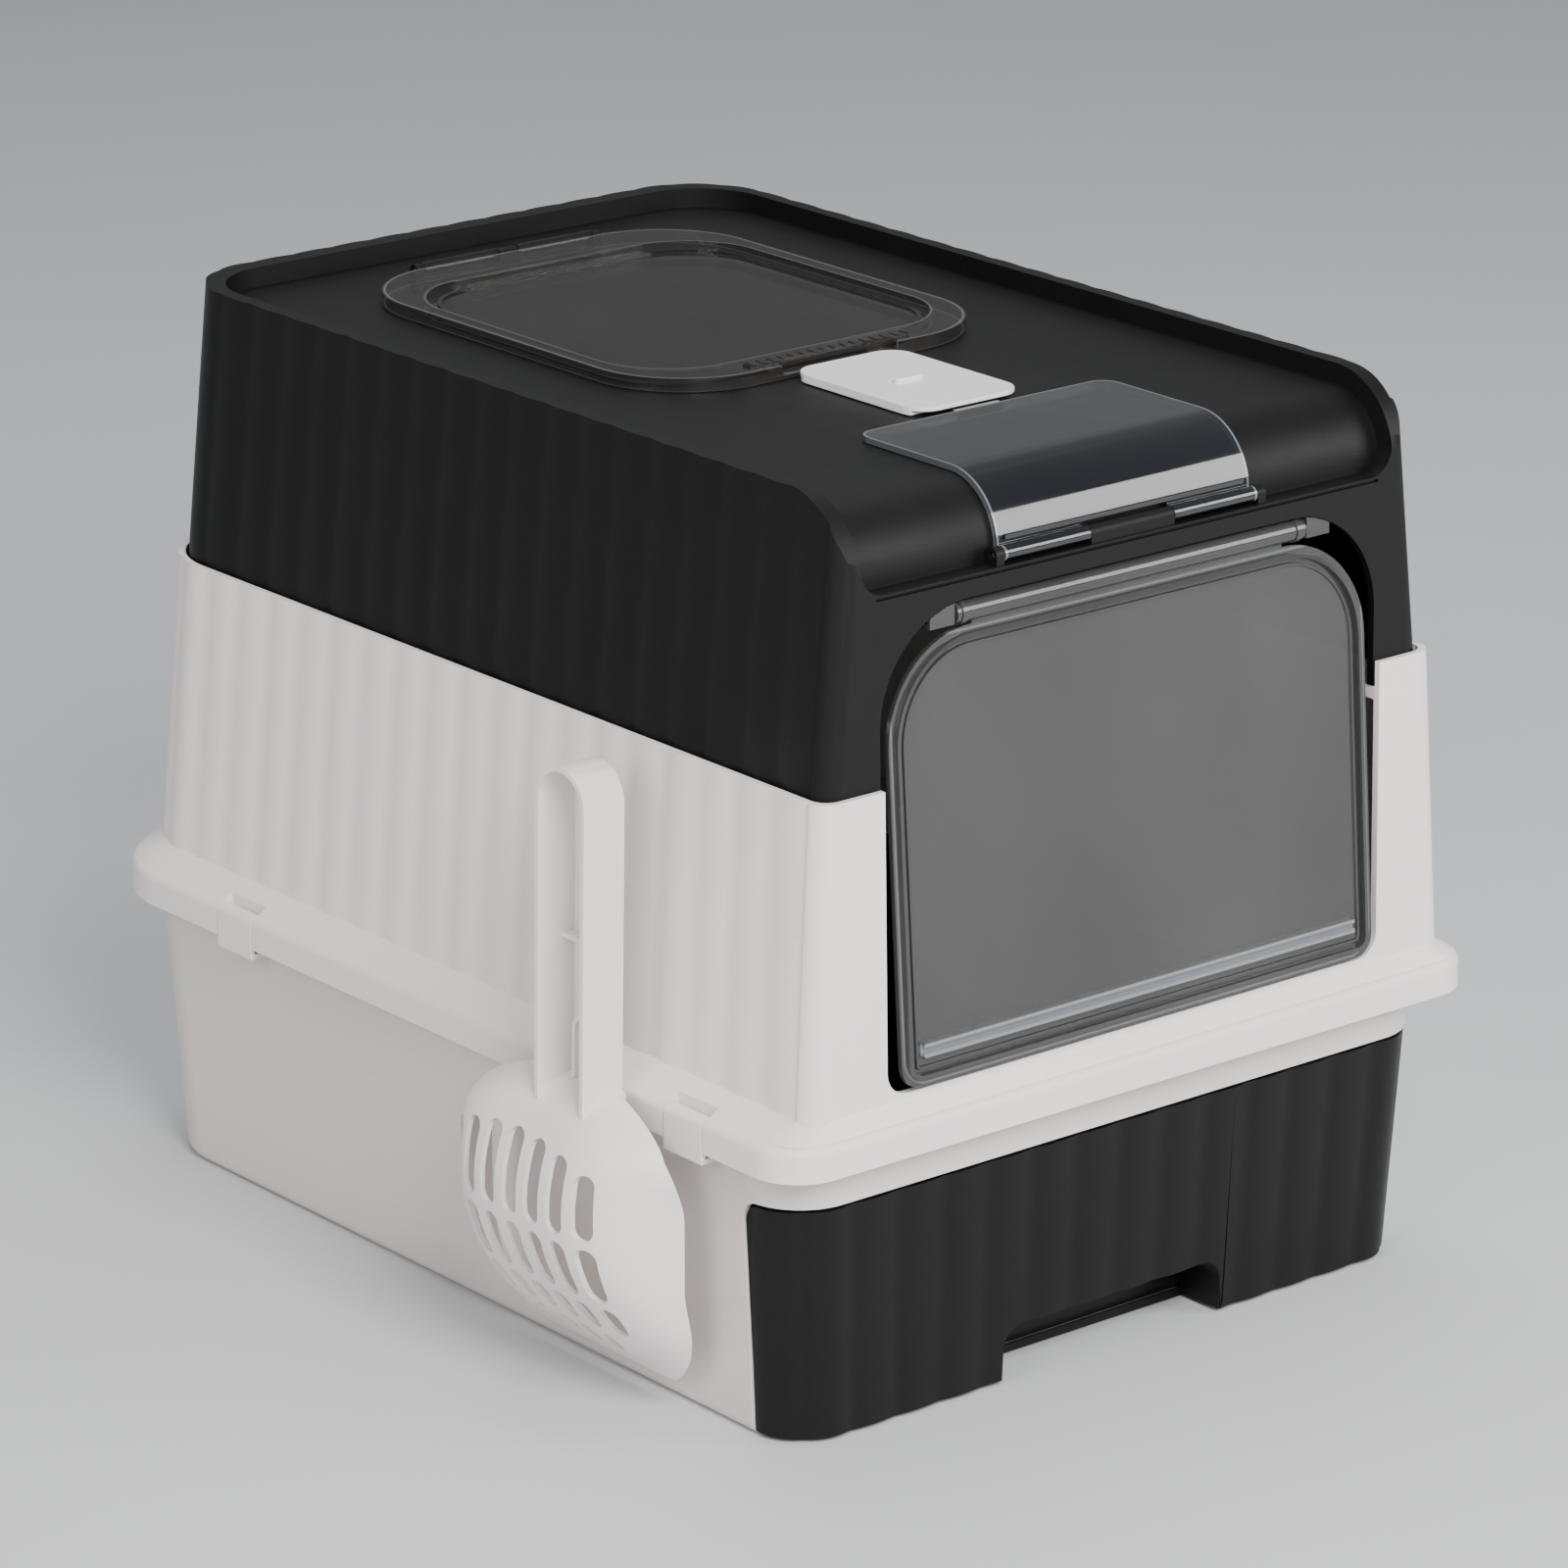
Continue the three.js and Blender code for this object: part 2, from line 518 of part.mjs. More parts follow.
function topLid() {
  const frame = plan(LID, LID.bottom, LID.top, LID.corner, LID.corner);
  const sink = plan(LID_PANE, LID_PANE.top, LID.top + 1, LID_PANE.corner, LID_PANE.corner);
  const { half: lipHalf, depth } = LID_LIP;
  const lip = block(-lipHalf, lipHalf, LID.front - 1, LID.front + depth, LIP_TOP, LID.top + 1);
  const { left, right, front, back, height } = LID_GRIP;
  const grip = block(left, right, front, back, LID.top - 1, LID.top + height);
  const hinge = [-1, 1].map((side) => {
    const [x0, x1] = inOrder(side * LID_ARM.inner, side * LID_ARM.outer);
    const arm = block(
      x0, x1, LID.back - LID_ARM.overlap, LID_AXIS.y, LID_AXIS.z - LID_ARM.drop, LID.top,
    );
    return join(arm, rodX(x0, x1, LID_AXIS.y, LID_AXIS.z, KNUCKLE.radius));
  });
  const bore = rodX(-60, 60, LID_AXIS.y, LID_AXIS.z, KNUCKLE.bore);
  return meshOf("top_lid", cut(join(cut(frame, sink, lip), grip, ...hinge), bore), smokedPlastic());
}

function hingePin(name, half, axis) {
  return meshOf(name, rodX(-half, half, axis.y, axis.z, KNUCKLE.pin, 8), steel());
}

function frontWindow() {
  const { half, back, corner, lift, thick, bottom } = WINDOW;
  const { bendY, bendZ, bend, recess } = ROOF;
  const inner = bend - recess + lift;
  const outer = inner + thick;
  const sheet = new THREE.Shape();
  sheet.moveTo(back, bendZ + inner);
  sheet.lineTo(bendY, bendZ + inner);
  sheet.absarc(bendY, bendZ, inner, Math.PI / 2, Math.PI, false);
  sheet.lineTo(bendY - inner, bottom);
  sheet.lineTo(bendY - outer, bottom);
  sheet.absarc(bendY, bendZ, outer, Math.PI, Math.PI / 2, true);
  sheet.lineTo(back, bendZ + outer);
  const pane = common(
    across(sheet, -half, half),
    plan({ half, front: -300, back }, 380, 440, 0, corner),
  );
  const barrel = rodX(-half, half, WINDOW_AXIS.y, WINDOW_AXIS.z, KNUCKLE.radius);
  const { half: tabHalf, reach } = WINDOW_TAB;
  const tab = block(-tabHalf, tabHalf, back - 1, back + reach, bendZ + inner, LIP_TOP);
  const gap = KNUCKLE_GAP;
  const knuckleGap = block(-gap.half, gap.half, gap.front, gap.back, gap.bottom, gap.top);
  const bore = rodX(-80, 80, WINDOW_AXIS.y, WINDOW_AXIS.z, KNUCKLE.bore);
  return meshOf("front_window", cut(join(pane, barrel, tab), knuckleGap, bore), smokedPlastic());
}

function latchSlider() {
  const plate = plan(LATCH, LATCH.bottom, LATCH.top, LATCH.corner, LATCH.corner);
  const { depth, clearance } = LATCH_RELIEF;
  const reliefTop = LIP_TOP + clearance;
  const reliefs = [
    block(-40, 40, LATCH.back - depth, LATCH.back + 1, LATCH.bottom - 1, reliefTop),
    block(-40, 40, LATCH.front - 1, LATCH.front + depth, LATCH.bottom - 1, reliefTop),
  ];
  const stem = block(-LATCH_STEM.half, LATCH_STEM.half, LATCH_STEM.front, LATCH_STEM.back,
    LATCH_STEM.bottom, LATCH.bottom + 1);
  const { half, front, back, height } = LATCH_THUMB;
  const thumb = block(-half, half, front, back, LATCH.top - 1, LATCH.top + height);
  const screwHole = rodZ(LATCH_STEM.bottom - 1, LATCH.bottom + 0.8, 0, LATCH_SCREW.y, LATCH_SCREW.hole, 8);
  const solid = cut(join(cut(plate, ...reliefs), stem, thumb), screwHole);
  return meshOf("latch_slider", solid, plastic(0xe9e9ea, 0.35));
}

function latchRetainer() {
  const top = LATCH_STEM.bottom - GAP;
  const { half, front, back, thick } = RETAINER;
  const plate = block(-half, half, front, back, top - thick, top);
  const hole = rodZ(top - 4, top + 1, 0, LATCH_SCREW.y, LATCH_SCREW.hole, 8);
  return meshOf("latch_retainer", cut(plate, hole), whitePlastic());
}

function latchScrew() {
  const seat = LATCH_STEM.bottom - GAP - RETAINER.thick - GAP;
  const head = rodZ(seat - LATCH_SCREW.headDepth, seat, 0, LATCH_SCREW.y, LATCH_SCREW.head);
  const shank = rodZ(seat - 1, LATCH.bottom, 0, LATCH_SCREW.y, LATCH_SCREW.radius, 8);
  return meshOf("latch_screw", join(head, shank), steel());
}

// Drawer ------------------------------------------------------------------------------------

function litterDrawer() {
  const { half, front, back, bottom, top, flare, thick } = PAN;
  const wall = {
    low: { z: bottom, half, front, back },
    high: { z: top, half: half + flare, front, back: back + flare },
  };
  const rimSize = { half: half + flare + 2.5, front, back: back + flare + 2 };
  const outer = drafted(wall, bottom, top, smoothOutline(10, 30));
  const rim = plan(rimSize, top - 3, top, 10, 32);
  const inside = drafted(wall, bottom + thick, top + 1, smoothOutline(8, 28), thick);
  const holes = [-1, 1].map((side) =>
    rodY(front - 1, front + thick + 1, side * DRAWER_SCREW.x, DRAWER_SCREW.z, DRAWER_SCREW.hole, 8),
  );
  return meshOf("litter_drawer", cut(join(outer, rim), inside, ...holes), plastic(0x2f2f30, 0.5));
}

function drawerFront() {
  const { bottom, top, back, thick } = FASCIA;
  const outer = drafted(TRAY_WALL, bottom, top, flutedFrontOutline(28, 38));
  const hollow = drafted(TRAY_WALL, bottom - 1, top - 3, smoothOutline(25, 35), thick);
  const behind = block(-250, 250, back, 300, -10, 200);
  const bosses = [-1, 1].map((side) =>
    rodY(-243, back, side * DRAWER_SCREW.x, DRAWER_SCREW.z, DRAWER_SCREW.boss),
  );
  const cup = along(
    roundedRect(-PULL.half - PULL.frame, PULL.half + PULL.frame, bottom, PULL.top + PULL.frame, 0, 12),
    -241, back,
  );
  const grip = along(roundedRect(-PULL.half, PULL.half, -5, PULL.top, 0, PULL.corner), -260, -190);
  const screwHoles = [-1, 1].map((side) =>
    rodY(-234, back + 1, side * DRAWER_SCREW.x, DRAWER_SCREW.z, DRAWER_SCREW.hole, 8),
  );
  const solid = cut(join(cut(outer, hollow, behind), cup, ...bosses), grip, ...screwHoles);
  return meshOf("drawer_front", solid, darkPlastic());
}

function drawerScrew(name, side) {
  const seat = PAN.front + PAN.thick + GAP;
  const x = side * DRAWER_SCREW.x;
  const head = rodY(seat, seat + DRAWER_SCREW.headDepth, x, DRAWER_SCREW.z, DRAWER_SCREW.head);
  const shank = rodY(-231, seat + 1, x, DRAWER_SCREW.z, DRAWER_SCREW.radius, 8);
  return meshOf(name, join(head, shank), steel());
}

// Scoop and its holder ------------------------------------------------------------------------

// The bowl's curve in X and Z, from the neck over the bulge to the tip
function bowlCurve() {
  return new THREE.SplineCurve(BOWL_POINTS.map(([x, z]) => new THREE.Vector2(x, z)));
}

// Seen from the side, the bowl is a spade: a neck, round shoulders and a round tip
function bowlOutline() {
  const { width, tipRadius, tipZ, shoulderZ } = SCOOP_BOWL;
  const [front, back] = [BOWL_Y - width / 2, BOWL_Y + width / 2];
  const { front: neckFront, back: neckBack, z, shoulder, shoulderTop, sideTop } = BOWL_NECK;
  const shape = new THREE.Shape();
  shape.moveTo(neckFront, z);
  shape.bezierCurveTo(BOWL_Y - shoulder, shoulderTop, front, sideTop, front, shoulderZ);
  shape.lineTo(front, tipZ);
  shape.absarc(front + tipRadius, tipZ, tipRadius, Math.PI, 1.5 * Math.PI);
  shape.absarc(back - tipRadius, tipZ, tipRadius, 1.5 * Math.PI, 2 * Math.PI);
  shape.lineTo(back, shoulderZ);
  shape.bezierCurveTo(back, sideTop, BOWL_Y + shoulder, shoulderTop, neckBack, z);
  return shape;
}

function bowlSlots() {
  const slots = [];
  for (const { bottom, top, columns } of SLOT_ROWS) {
    for (let i = 0; i < columns; i++) {
      const y = BOWL_Y + (i - (columns - 1) / 2) * SLOT.pitch;
      const outline = roundedRect(y - SLOT.half, y + SLOT.half, bottom, top, SLOT.end);
      slots.push(across(outline, -260, -185, 2));
    }
  }
  return slots;
}

// The curved sheet of the bowl, cut to its outline and slotted
function scoopBowl(outer) {
  const curve = bowlCurve();
  const { thick, width } = SCOOP_BOWL;
  const inner = outer.map((point, i) => {
    const tangent = curve.getTangent(i / BOWL_STEPS);
    return new THREE.Vector2(point.x - tangent.y * thick, point.y + tangent.x * thick);
  });
  const section = new THREE.Shape([...outer, ...inner.reverse()]);
  const sheet = along(section, BOWL_Y - width / 2, BOWL_Y + width / 2);
  return cut(common(sheet, across(bowlOutline(), -260, -180)), ...bowlSlots());
}

// The handle is a channel, open to the outside, that leans out a little and ends at the bowl
function scoopHandle(outer) {
  const { width, bottom, top, backX, depth, wall } = SCOOP_HANDLE;
  const [front, back] = [SCOOP_Y - width / 2, SCOOP_Y + width / 2];
  const channel = cut(
    across(roundedRect(front, back, bottom, top, 0, width / 2 - 0.1), backX - depth, backX),
    across(
      roundedRect(front + wall, back - wall, bottom - 5, top - wall, 0, width / 2 - wall - 0.1),
      backX - depth - 1, backX - wall,
    ),
  );
  const { depth: ribDepth, bottom: ribBottom, top: ribTop } = HANDLE_RIB;
  const rib = block(backX - ribDepth, backX - 1, front + 1, back - 1, ribBottom, ribTop);
  const leaned = join(channel, rib)
    .translate([-backX, 0, -HANDLE_PIVOT_Z])
    .rotate([0, HANDLE_LEAN, 0])
    .translate([backX, 0, HANDLE_PIVOT_Z]);
  const corners = [[-260, 10], [-260, 320], [-180, 320], [-180, 134]];
  const outside = new THREE.Shape([...outer, ...corners.map(([x, z]) => new THREE.Vector2(x, z))]);
  return common(leaned, along(outside, front - 1, back + 1));
}

function scoop() {
  const outer = bowlCurve().getPoints(BOWL_STEPS);
  const { inner, outer: hookOuter, half, bottom, under, top } = SCOOP_HOOK;
  const hookY = [SCOOP_Y - half, SCOOP_Y + half];
  const hook = join(
    block(hookOuter, inner, ...hookY, bottom, top),
    block(SCOOP_HANDLE.backX - 1, inner, ...hookY, under, top),
  );
  return meshOf("scoop", join(scoopBowl(outer), scoopHandle(outer), hook), whitePlastic());
}

// A loop on the flange, open at the top and bottom, that the scoop's hook drops into
function scoopHolder() {
  const { inner, outer, bottom, top, half, wall, side } = SCOOP_LOOP;
  const loop = block(outer, inner, SCOOP_Y - half, SCOOP_Y + half, bottom, top);
  const slot = block(outer + wall, inner - wall, SCOOP_Y - half + side, SCOOP_Y + half - side,
    bottom - 1, top + 1);
  return meshOf("scoop_holder", cut(loop, slot), whitePlastic());
}

// The whole box -----------------------------------------------------------------------------

const litterBox = new THREE.Group();
litterBox.add(
  baseTray(), upperShell(), hood(),
  frontDoor(), doorRod(), doorBearing("door_bearing_left", -1), doorBearing("door_bearing_right", 1),
  topLid(), hingePin("lid_pin", 54, LID_AXIS),
  frontWindow(), hingePin("window_pin", 77, WINDOW_AXIS),
  latchSlider(), latchRetainer(), latchScrew(),
  litterDrawer(), drawerFront(), drawerScrew("drawer_screw_left", -1), drawerScrew("drawer_screw_right", 1),
  scoop(), scoopHolder(),
);
for (const [sideName, side] of clipSides) {
  for (const [rowName, y] of clipRows) litterBox.add(sideClip(`clip_${sideName}_${rowName}`, side, y));
}

export default litterBox;
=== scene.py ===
"""Looks for a hooded cat litter box: moulded shells, clear lids, flap door, drawer front and scoop.

Metres, +X to the right seen from the front, +Y to the back, +Z up.
"""
import json
import math

import bpy
from mathutils import Matrix, Vector


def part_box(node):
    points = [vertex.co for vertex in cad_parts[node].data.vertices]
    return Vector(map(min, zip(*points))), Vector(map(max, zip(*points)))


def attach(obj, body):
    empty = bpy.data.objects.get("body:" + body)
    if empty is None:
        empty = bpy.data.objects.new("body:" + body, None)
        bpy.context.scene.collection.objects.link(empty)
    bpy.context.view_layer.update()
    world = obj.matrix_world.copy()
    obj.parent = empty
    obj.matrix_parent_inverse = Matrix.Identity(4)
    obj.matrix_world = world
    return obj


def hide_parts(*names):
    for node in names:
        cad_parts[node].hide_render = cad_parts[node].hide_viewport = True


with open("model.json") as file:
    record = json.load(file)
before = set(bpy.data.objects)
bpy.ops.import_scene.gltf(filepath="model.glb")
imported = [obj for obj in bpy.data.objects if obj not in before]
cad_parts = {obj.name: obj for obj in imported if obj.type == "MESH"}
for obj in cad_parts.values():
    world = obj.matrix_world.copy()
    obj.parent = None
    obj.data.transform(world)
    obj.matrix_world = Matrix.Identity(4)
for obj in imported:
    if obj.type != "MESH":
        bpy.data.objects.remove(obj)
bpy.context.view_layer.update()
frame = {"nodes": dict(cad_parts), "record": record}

# Shared sizes
FLUTE_PITCH = 0.025
FLUTE_DEPTH = 0.0013
FLUTE_STEP = 0.0031
FLOOR_SIZE = 9.0

# Drafted walls: height, half width, front and back at a lower and an upper level
TRAY_WALL = ((0.0, 0.1848, -0.241, 0.243), (0.1335, 0.1916, -0.247, 0.25))
SHELL_WALL = ((0.158, 0.1875, -0.2554, 0.262), (0.297, 0.1789, -0.2526, 0.2538))
HOOD_WALL = ((0.2853, 0.1756, -0.2491, 0.2507), (0.425, 0.1616, -0.2464, 0.248))
FLANGE_SLOPE = ((0.1489, 0.2005, -0.26, 0.268), (0.157, 0.188, -0.2556, 0.2624))

# Roof: the panel is sunk inside a rim, and both bend down at the front
ROOF_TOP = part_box("hood")[1].z
BEND_RADIUS = 0.038
BEND_Y = -0.2094
BEND_Z = 0.387
PANEL_RECESS = 0.0095
PANEL_THICK = 0.003
PANEL_TOP = ROOF_TOP - PANEL_RECESS
POCKET_HALF = 0.154
GROOVE_Z = 0.382

DOOR_AXIS = Vector((0.0, -0.2435, 0.3655))
DOOR_LEAN = math.radians(-4.15)
DOOR_HALF = 0.1388
WINDOW_AXIS = Vector((0.0, -0.243, 0.3864))
LID_AXIS = Vector((0.0, 0.2, 0.42))
SCOOP_Y = -0.1375
BOWL_Y = -0.125


# Selecting and running edit-mode operators -------------------------------------------------------

def activate(piece):
    bpy.ops.object.select_all(action="DESELECT")
    piece.select_set(True)
    bpy.context.view_layer.objects.active = piece


def work(piece, kind, test, operator, **settings):
    """Runs an edit-mode operator on the vertices, edges or faces of a piece that pass a test."""
    mesh = piece.data
    for group in (mesh.vertices, mesh.edges, mesh.polygons):
        group.foreach_set("select", [False] * len(group))
    bpy.context.tool_settings.mesh_select_mode = [kind == each for each in ("VERT", "EDGE", "FACE")]
    if kind == "VERT":
        for vertex in mesh.vertices:
            vertex.select = test(vertex.co)
    elif kind == "EDGE":
        for edge in mesh.edges:
            edge.select = test(*(mesh.vertices[i].co for i in edge.vertices))
    else:
        for face in mesh.polygons:
            face.select = test(face)
    activate(piece)
    bpy.ops.object.mode_set(mode="EDIT")
    operator(**settings)
    bpy.ops.object.mode_set(mode="OBJECT")


def everything(*_):
    return True


def move(piece, rule):
    """Gives every vertex the place that a rule works out from its old one."""
    for vertex in piece.data.vertices:
        vertex.co = rule(vertex.co.copy())
    piece.data.update()


def modify(piece, kind, **settings):
    activate(piece)
    modifier = piece.modifiers.new(kind, kind)
    for key, value in settings.items():
        setattr(modifier, key, value)
    bpy.ops.object.modifier_apply(modifier=modifier.name)


def combine(operation, piece, tools):
    for tool in tools:
        modify(piece, "BOOLEAN", operation=operation, solver="EXACT", object=tool)
        bpy.data.objects.remove(tool)
    return piece


def cut(piece, *tools):
    return combine("DIFFERENCE", piece, tools)


def join(piece, *others):
    return combine("UNION", piece, others)


def common(piece, *others):
    return combine("INTERSECT", piece, others)


# Basic shapes ------------------------------------------------------------------------------------
# A cutter's far sides only have to lie past the walls that it cuts, so they are plain numbers.

def block(x0, x1, y0, y1, z0, z1):
    centre = ((x0 + x1) / 2, (y0 + y1) / 2, (z0 + z1) / 2)
    bpy.ops.mesh.primitive_cube_add(size=1, location=centre, scale=(x1 - x0, y1 - y0, z1 - z0))
    bpy.ops.object.transform_apply(location=True, rotation=False, scale=True)
    return bpy.context.object


def rod(axis, centre, radius, length, sides=32):
    turn = {"X": (0, math.pi / 2, 0), "Y": (math.pi / 2, 0, 0), "Z": (0, 0, 0)}[axis]
    bpy.ops.mesh.primitive_cylinder_add(
        vertices=sides, radius=radius, depth=length, location=centre, rotation=turn)
    bpy.ops.object.transform_apply(location=True, rotation=True, scale=True)
    return bpy.context.object


def round_edges(piece, axis, test, radius, segments=12):
    """Rounds the edges that run along an axis and whose middle passes a test."""
    others = [i for i in range(3) if i != "XYZ".index(axis)]

    def chosen(a, b):
        along = all(abs(a[i] - b[i]) < 1e-5 for i in others)
        return along and (a - b).length > 1e-4 and test((a + b) / 2)

    work(piece, "EDGE", chosen, bpy.ops.mesh.bevel, offset=radius, segments=segments, affect="EDGES")
    return piece


def plate(x, y, z, front_radius, back_radius=None, segments=12):
    """A block with rounded upright corners."""
    piece = block(*x, *y, *z)
    back_radius = front_radius if back_radius is None else back_radius
    middle = sum(y) / 2
    round_edges(piece, "Z", lambda at: at.y > middle, back_radius, segments)
    round_edges(piece, "Z", lambda at: at.y < middle and abs(at.y - y[0]) < 1e-4, front_radius, segments)
    return piece


def level(wall, z, inset=0.0):
    """Half width, front and back of a drafted wall at a height."""
    low, high = wall
    share = (z - low[0]) / (high[0] - low[0])
    half, front, back = (a + (b - a) * share for a, b in zip(low[1:], high[1:]))
    return half - inset, front + inset, back - inset


def split_sides(piece, step, half, front, back):
    """Cuts the straight walls into upright strips of about one step."""
    spans = [
        lambda a, b: abs(abs(a.x) - half) < 1e-5 and abs(abs(b.x) - half) < 1e-5,
        lambda a, b: abs(a.y - back) < 1e-5 and abs(b.y - back) < 1e-5,
        lambda a, b: abs(a.y - front) < 1e-5 and abs(b.y - front) < 1e-5,
    ]
    for on_wall in spans:
        lengths = []

        def chosen(a, b):
            long_and_level = on_wall(a, b) and abs(a.z - b.z) < 1e-6 and (a - b).length > 3 * step
            if long_and_level:
                lengths.append((a - b).length)
            return long_and_level

        work(piece, "EDGE", chosen, bpy.ops.mesh.select_mode, type="EDGE")
        if lengths:
            cuts = round(max(lengths) / step) - 1
            lengths.clear()
            work(piece, "EDGE", chosen, bpy.ops.mesh.subdivide, number_cuts=cuts)


def flute(piece, half, end, radius, run, toward):
    """Presses upright flutes into the side walls, round two corners and across an end wall."""
    total = 2 * run + math.pi * radius + 2 * (half - radius)
    count = round(total / FLUTE_PITCH)

    def pressed(co):
        aside = abs(co.x) - (half - radius)
        beyond = toward * (co.y - end) + radius
        sign = 1 if co.x > 0 else -1
        if beyond <= 0:
            along, normal = run + beyond, Vector((sign, 0, 0))
        elif aside <= 0:
            along = run + math.pi * radius / 2 - aside
            normal = Vector((0, toward, 0))
        else:
            angle = math.atan2(beyond, aside)
            along = run + radius * angle
            normal = Vector((sign * math.cos(angle), toward * math.sin(angle), 0))
        if along < -1e-6:
            return co
        across = 2 * ((along / total * count) % 1) - 1
        return co - normal * FLUTE_DEPTH * across ** 2

    move(piece, pressed)


def drafted(wall, z0, z1, front_radius, back_radius, inset=0.0, fluted=None):
    """A drafted solid with rounded corners, fluted at its back or front if asked."""
    half, front, back = level(wall, z0, inset)
    high_half, high_front, high_back = level(wall, z1, inset)
    segments = 24 if fluted else 12
    piece = plate((-half, half), (front, back), (z0, z1), front_radius, back_radius, segments)
    if fluted:
        split_sides(piece, FLUTE_STEP, half, front, back)
    if fluted == "back":
        flute(piece, half, back, back_radius, back - back_radius - front - front_radius, 1)
    if fluted == "front":
        flute(piece, half, front, front_radius, FLUTE_PITCH, -1)

    def leaned(co):
        rise = (co.z - z0) / (z1 - z0)
        depth = (co.y - front) / (back - front)
        leaned_y = high_front + (high_back - high_front) * depth
        return Vector((co.x * (1 + rise * (high_half / half - 1)), co.y + rise * (leaned_y - co.y), co.z))

    move(piece, leaned)
    return piece


def soften(piece, width=0.0008, segments=3, angle=38):
    """Rounds a piece's sharp edges and shades it smooth."""
    work(piece, "VERT", everything, bpy.ops.mesh.remove_doubles, threshold=0.00002)
    modify(piece, "BEVEL", width=width, segments=segments, limit_method="ANGLE",
           angle_limit=math.radians(angle), miter_outer="MITER_ARC", use_clamp_overlap=True)
    activate(piece)
    bpy.ops.object.shade_smooth_by_angle(angle=math.radians(32))
    modify(piece, "WEIGHTED_NORMAL", keep_sharp=True)
    return piece


def cad_copy(node):
    """A copy of a CAD node's mesh with its loose triangles joined up and its flat faces whole."""
    source = frame["nodes"][node]
    piece = bpy.data.objects.new(node + "_copy", source.data.copy())
    bpy.context.collection.objects.link(piece)
    work(piece, "VERT", everything, bpy.ops.mesh.remove_doubles, threshold=0.00002)
    work(piece, "FACE", everything, bpy.ops.mesh.dissolve_limited, angle_limit=math.radians(1))
    return piece


# Hood --------------------------------------------------------------------------------------------

HOOD_THICK = 0.0038
HOOD_CORNERS = (0.01, 0.045)
HOOD_INNER_CORNERS = (0.007, 0.041)
POCKET_BACK = 0.237
POCKET_CORNER = 0.036
POCKET_FOOT = 0.014
ARCH_HALF = 0.144
ARCH_TOP = 0.372
ARCH_CORNER = 0.05
LID_HOLE = ((-0.086, 0.086), (-0.034, 0.178))
LID_HOLE_CORNER = 0.04
WINDOW_HOLE_HALF = 0.065
WINDOW_HOLE_BACK = -0.152
WINDOW_HOLE_BOTTOM = 0.392
WINDOW_HOLE_CORNER = 0.008
LATCH_SLOT = (-0.0055, 0.0055, -0.113, -0.077)
GROOVE_HALF = 0.1455
GROOVE_BACK = -0.2458
GROOVE_DROP = (0.0024, 0.0011)
LID_EARS = ((-0.0546, -0.0506), (-0.0054, 0.0054), (0.0506, 0.0546))
LID_EAR_RADIUS = 0.0032
WINDOW_EARS = ((-0.078, -0.0736), (-0.024, 0.024), (0.0736, 0.078))
WINDOW_EAR_RADIUS = 0.0034
WINDOW_EAR_BACK = -0.237
PIN_BORE = 0.0018

def roof_body(inset, floor):
    """A solid under the roof's bent outline, set in by a depth."""
    front = BEND_Y - BEND_RADIUS + inset
    bent = block(-0.2, 0.2, front, 0.3, floor, ROOF_TOP - inset)
    return round_edges(bent, "X", lambda at: at.y < 0 and at.z > BEND_Z, BEND_RADIUS - inset, 24)


def hinge_ear(x0, x1, axis, radius, back, bottom):
    foot = block(x0, x1, axis.y - radius, back, bottom, axis.z)
    return join(foot, rod("X", ((x0 + x1) / 2, axis.y, axis.z), radius, x1 - x0))


def hood_shell():
    shell = drafted(HOOD_WALL, HOOD_WALL[0][0], ROOF_TOP, *HOOD_CORNERS, fluted="back")
    under_roof = join(roof_body(0.0, 0.28), block(-0.2, 0.2, -0.26, -0.2, 0.28, BEND_Z))
    common(shell, under_roof)

    pocket = block(-POCKET_HALF, POCKET_HALF, -0.3, POCKET_BACK, GROOVE_Z, 0.46)
    round_edges(pocket, "Z", lambda at: at.y > 0, POCKET_CORNER)
    round_edges(pocket, "Y", lambda at: at.z < 0.4, POCKET_FOOT)
    cut(pocket, roof_body(PANEL_RECESS, 0.3))

    inside = drafted(HOOD_WALL, 0.28, ROOF_TOP, *HOOD_INNER_CORNERS, inset=HOOD_THICK, fluted="back")
    low_room = block(-0.2, 0.2, -0.26, -0.2, 0.27, GROOVE_Z - PANEL_THICK)
    common(inside, join(roof_body(PANEL_RECESS + PANEL_THICK, 0.27), low_room))

    cut(shell, pocket, inside, *hood_holes())
    for span in LID_EARS:
        back = LID_AXIS.y + LID_EAR_RADIUS
        join(shell, hinge_ear(*span, LID_AXIS, LID_EAR_RADIUS, back, PANEL_TOP - 0.001))
    for span in WINDOW_EARS:
        ear = hinge_ear(*span, WINDOW_AXIS, WINDOW_EAR_RADIUS, WINDOW_EAR_BACK, GROOVE_Z - 0.001)
        join(shell, ear)
    cut(shell, rod("X", LID_AXIS, PIN_BORE, 0.12), rod("X", WINDOW_AXIS, PIN_BORE, 0.16))
    return soften(shell, 0.0012)


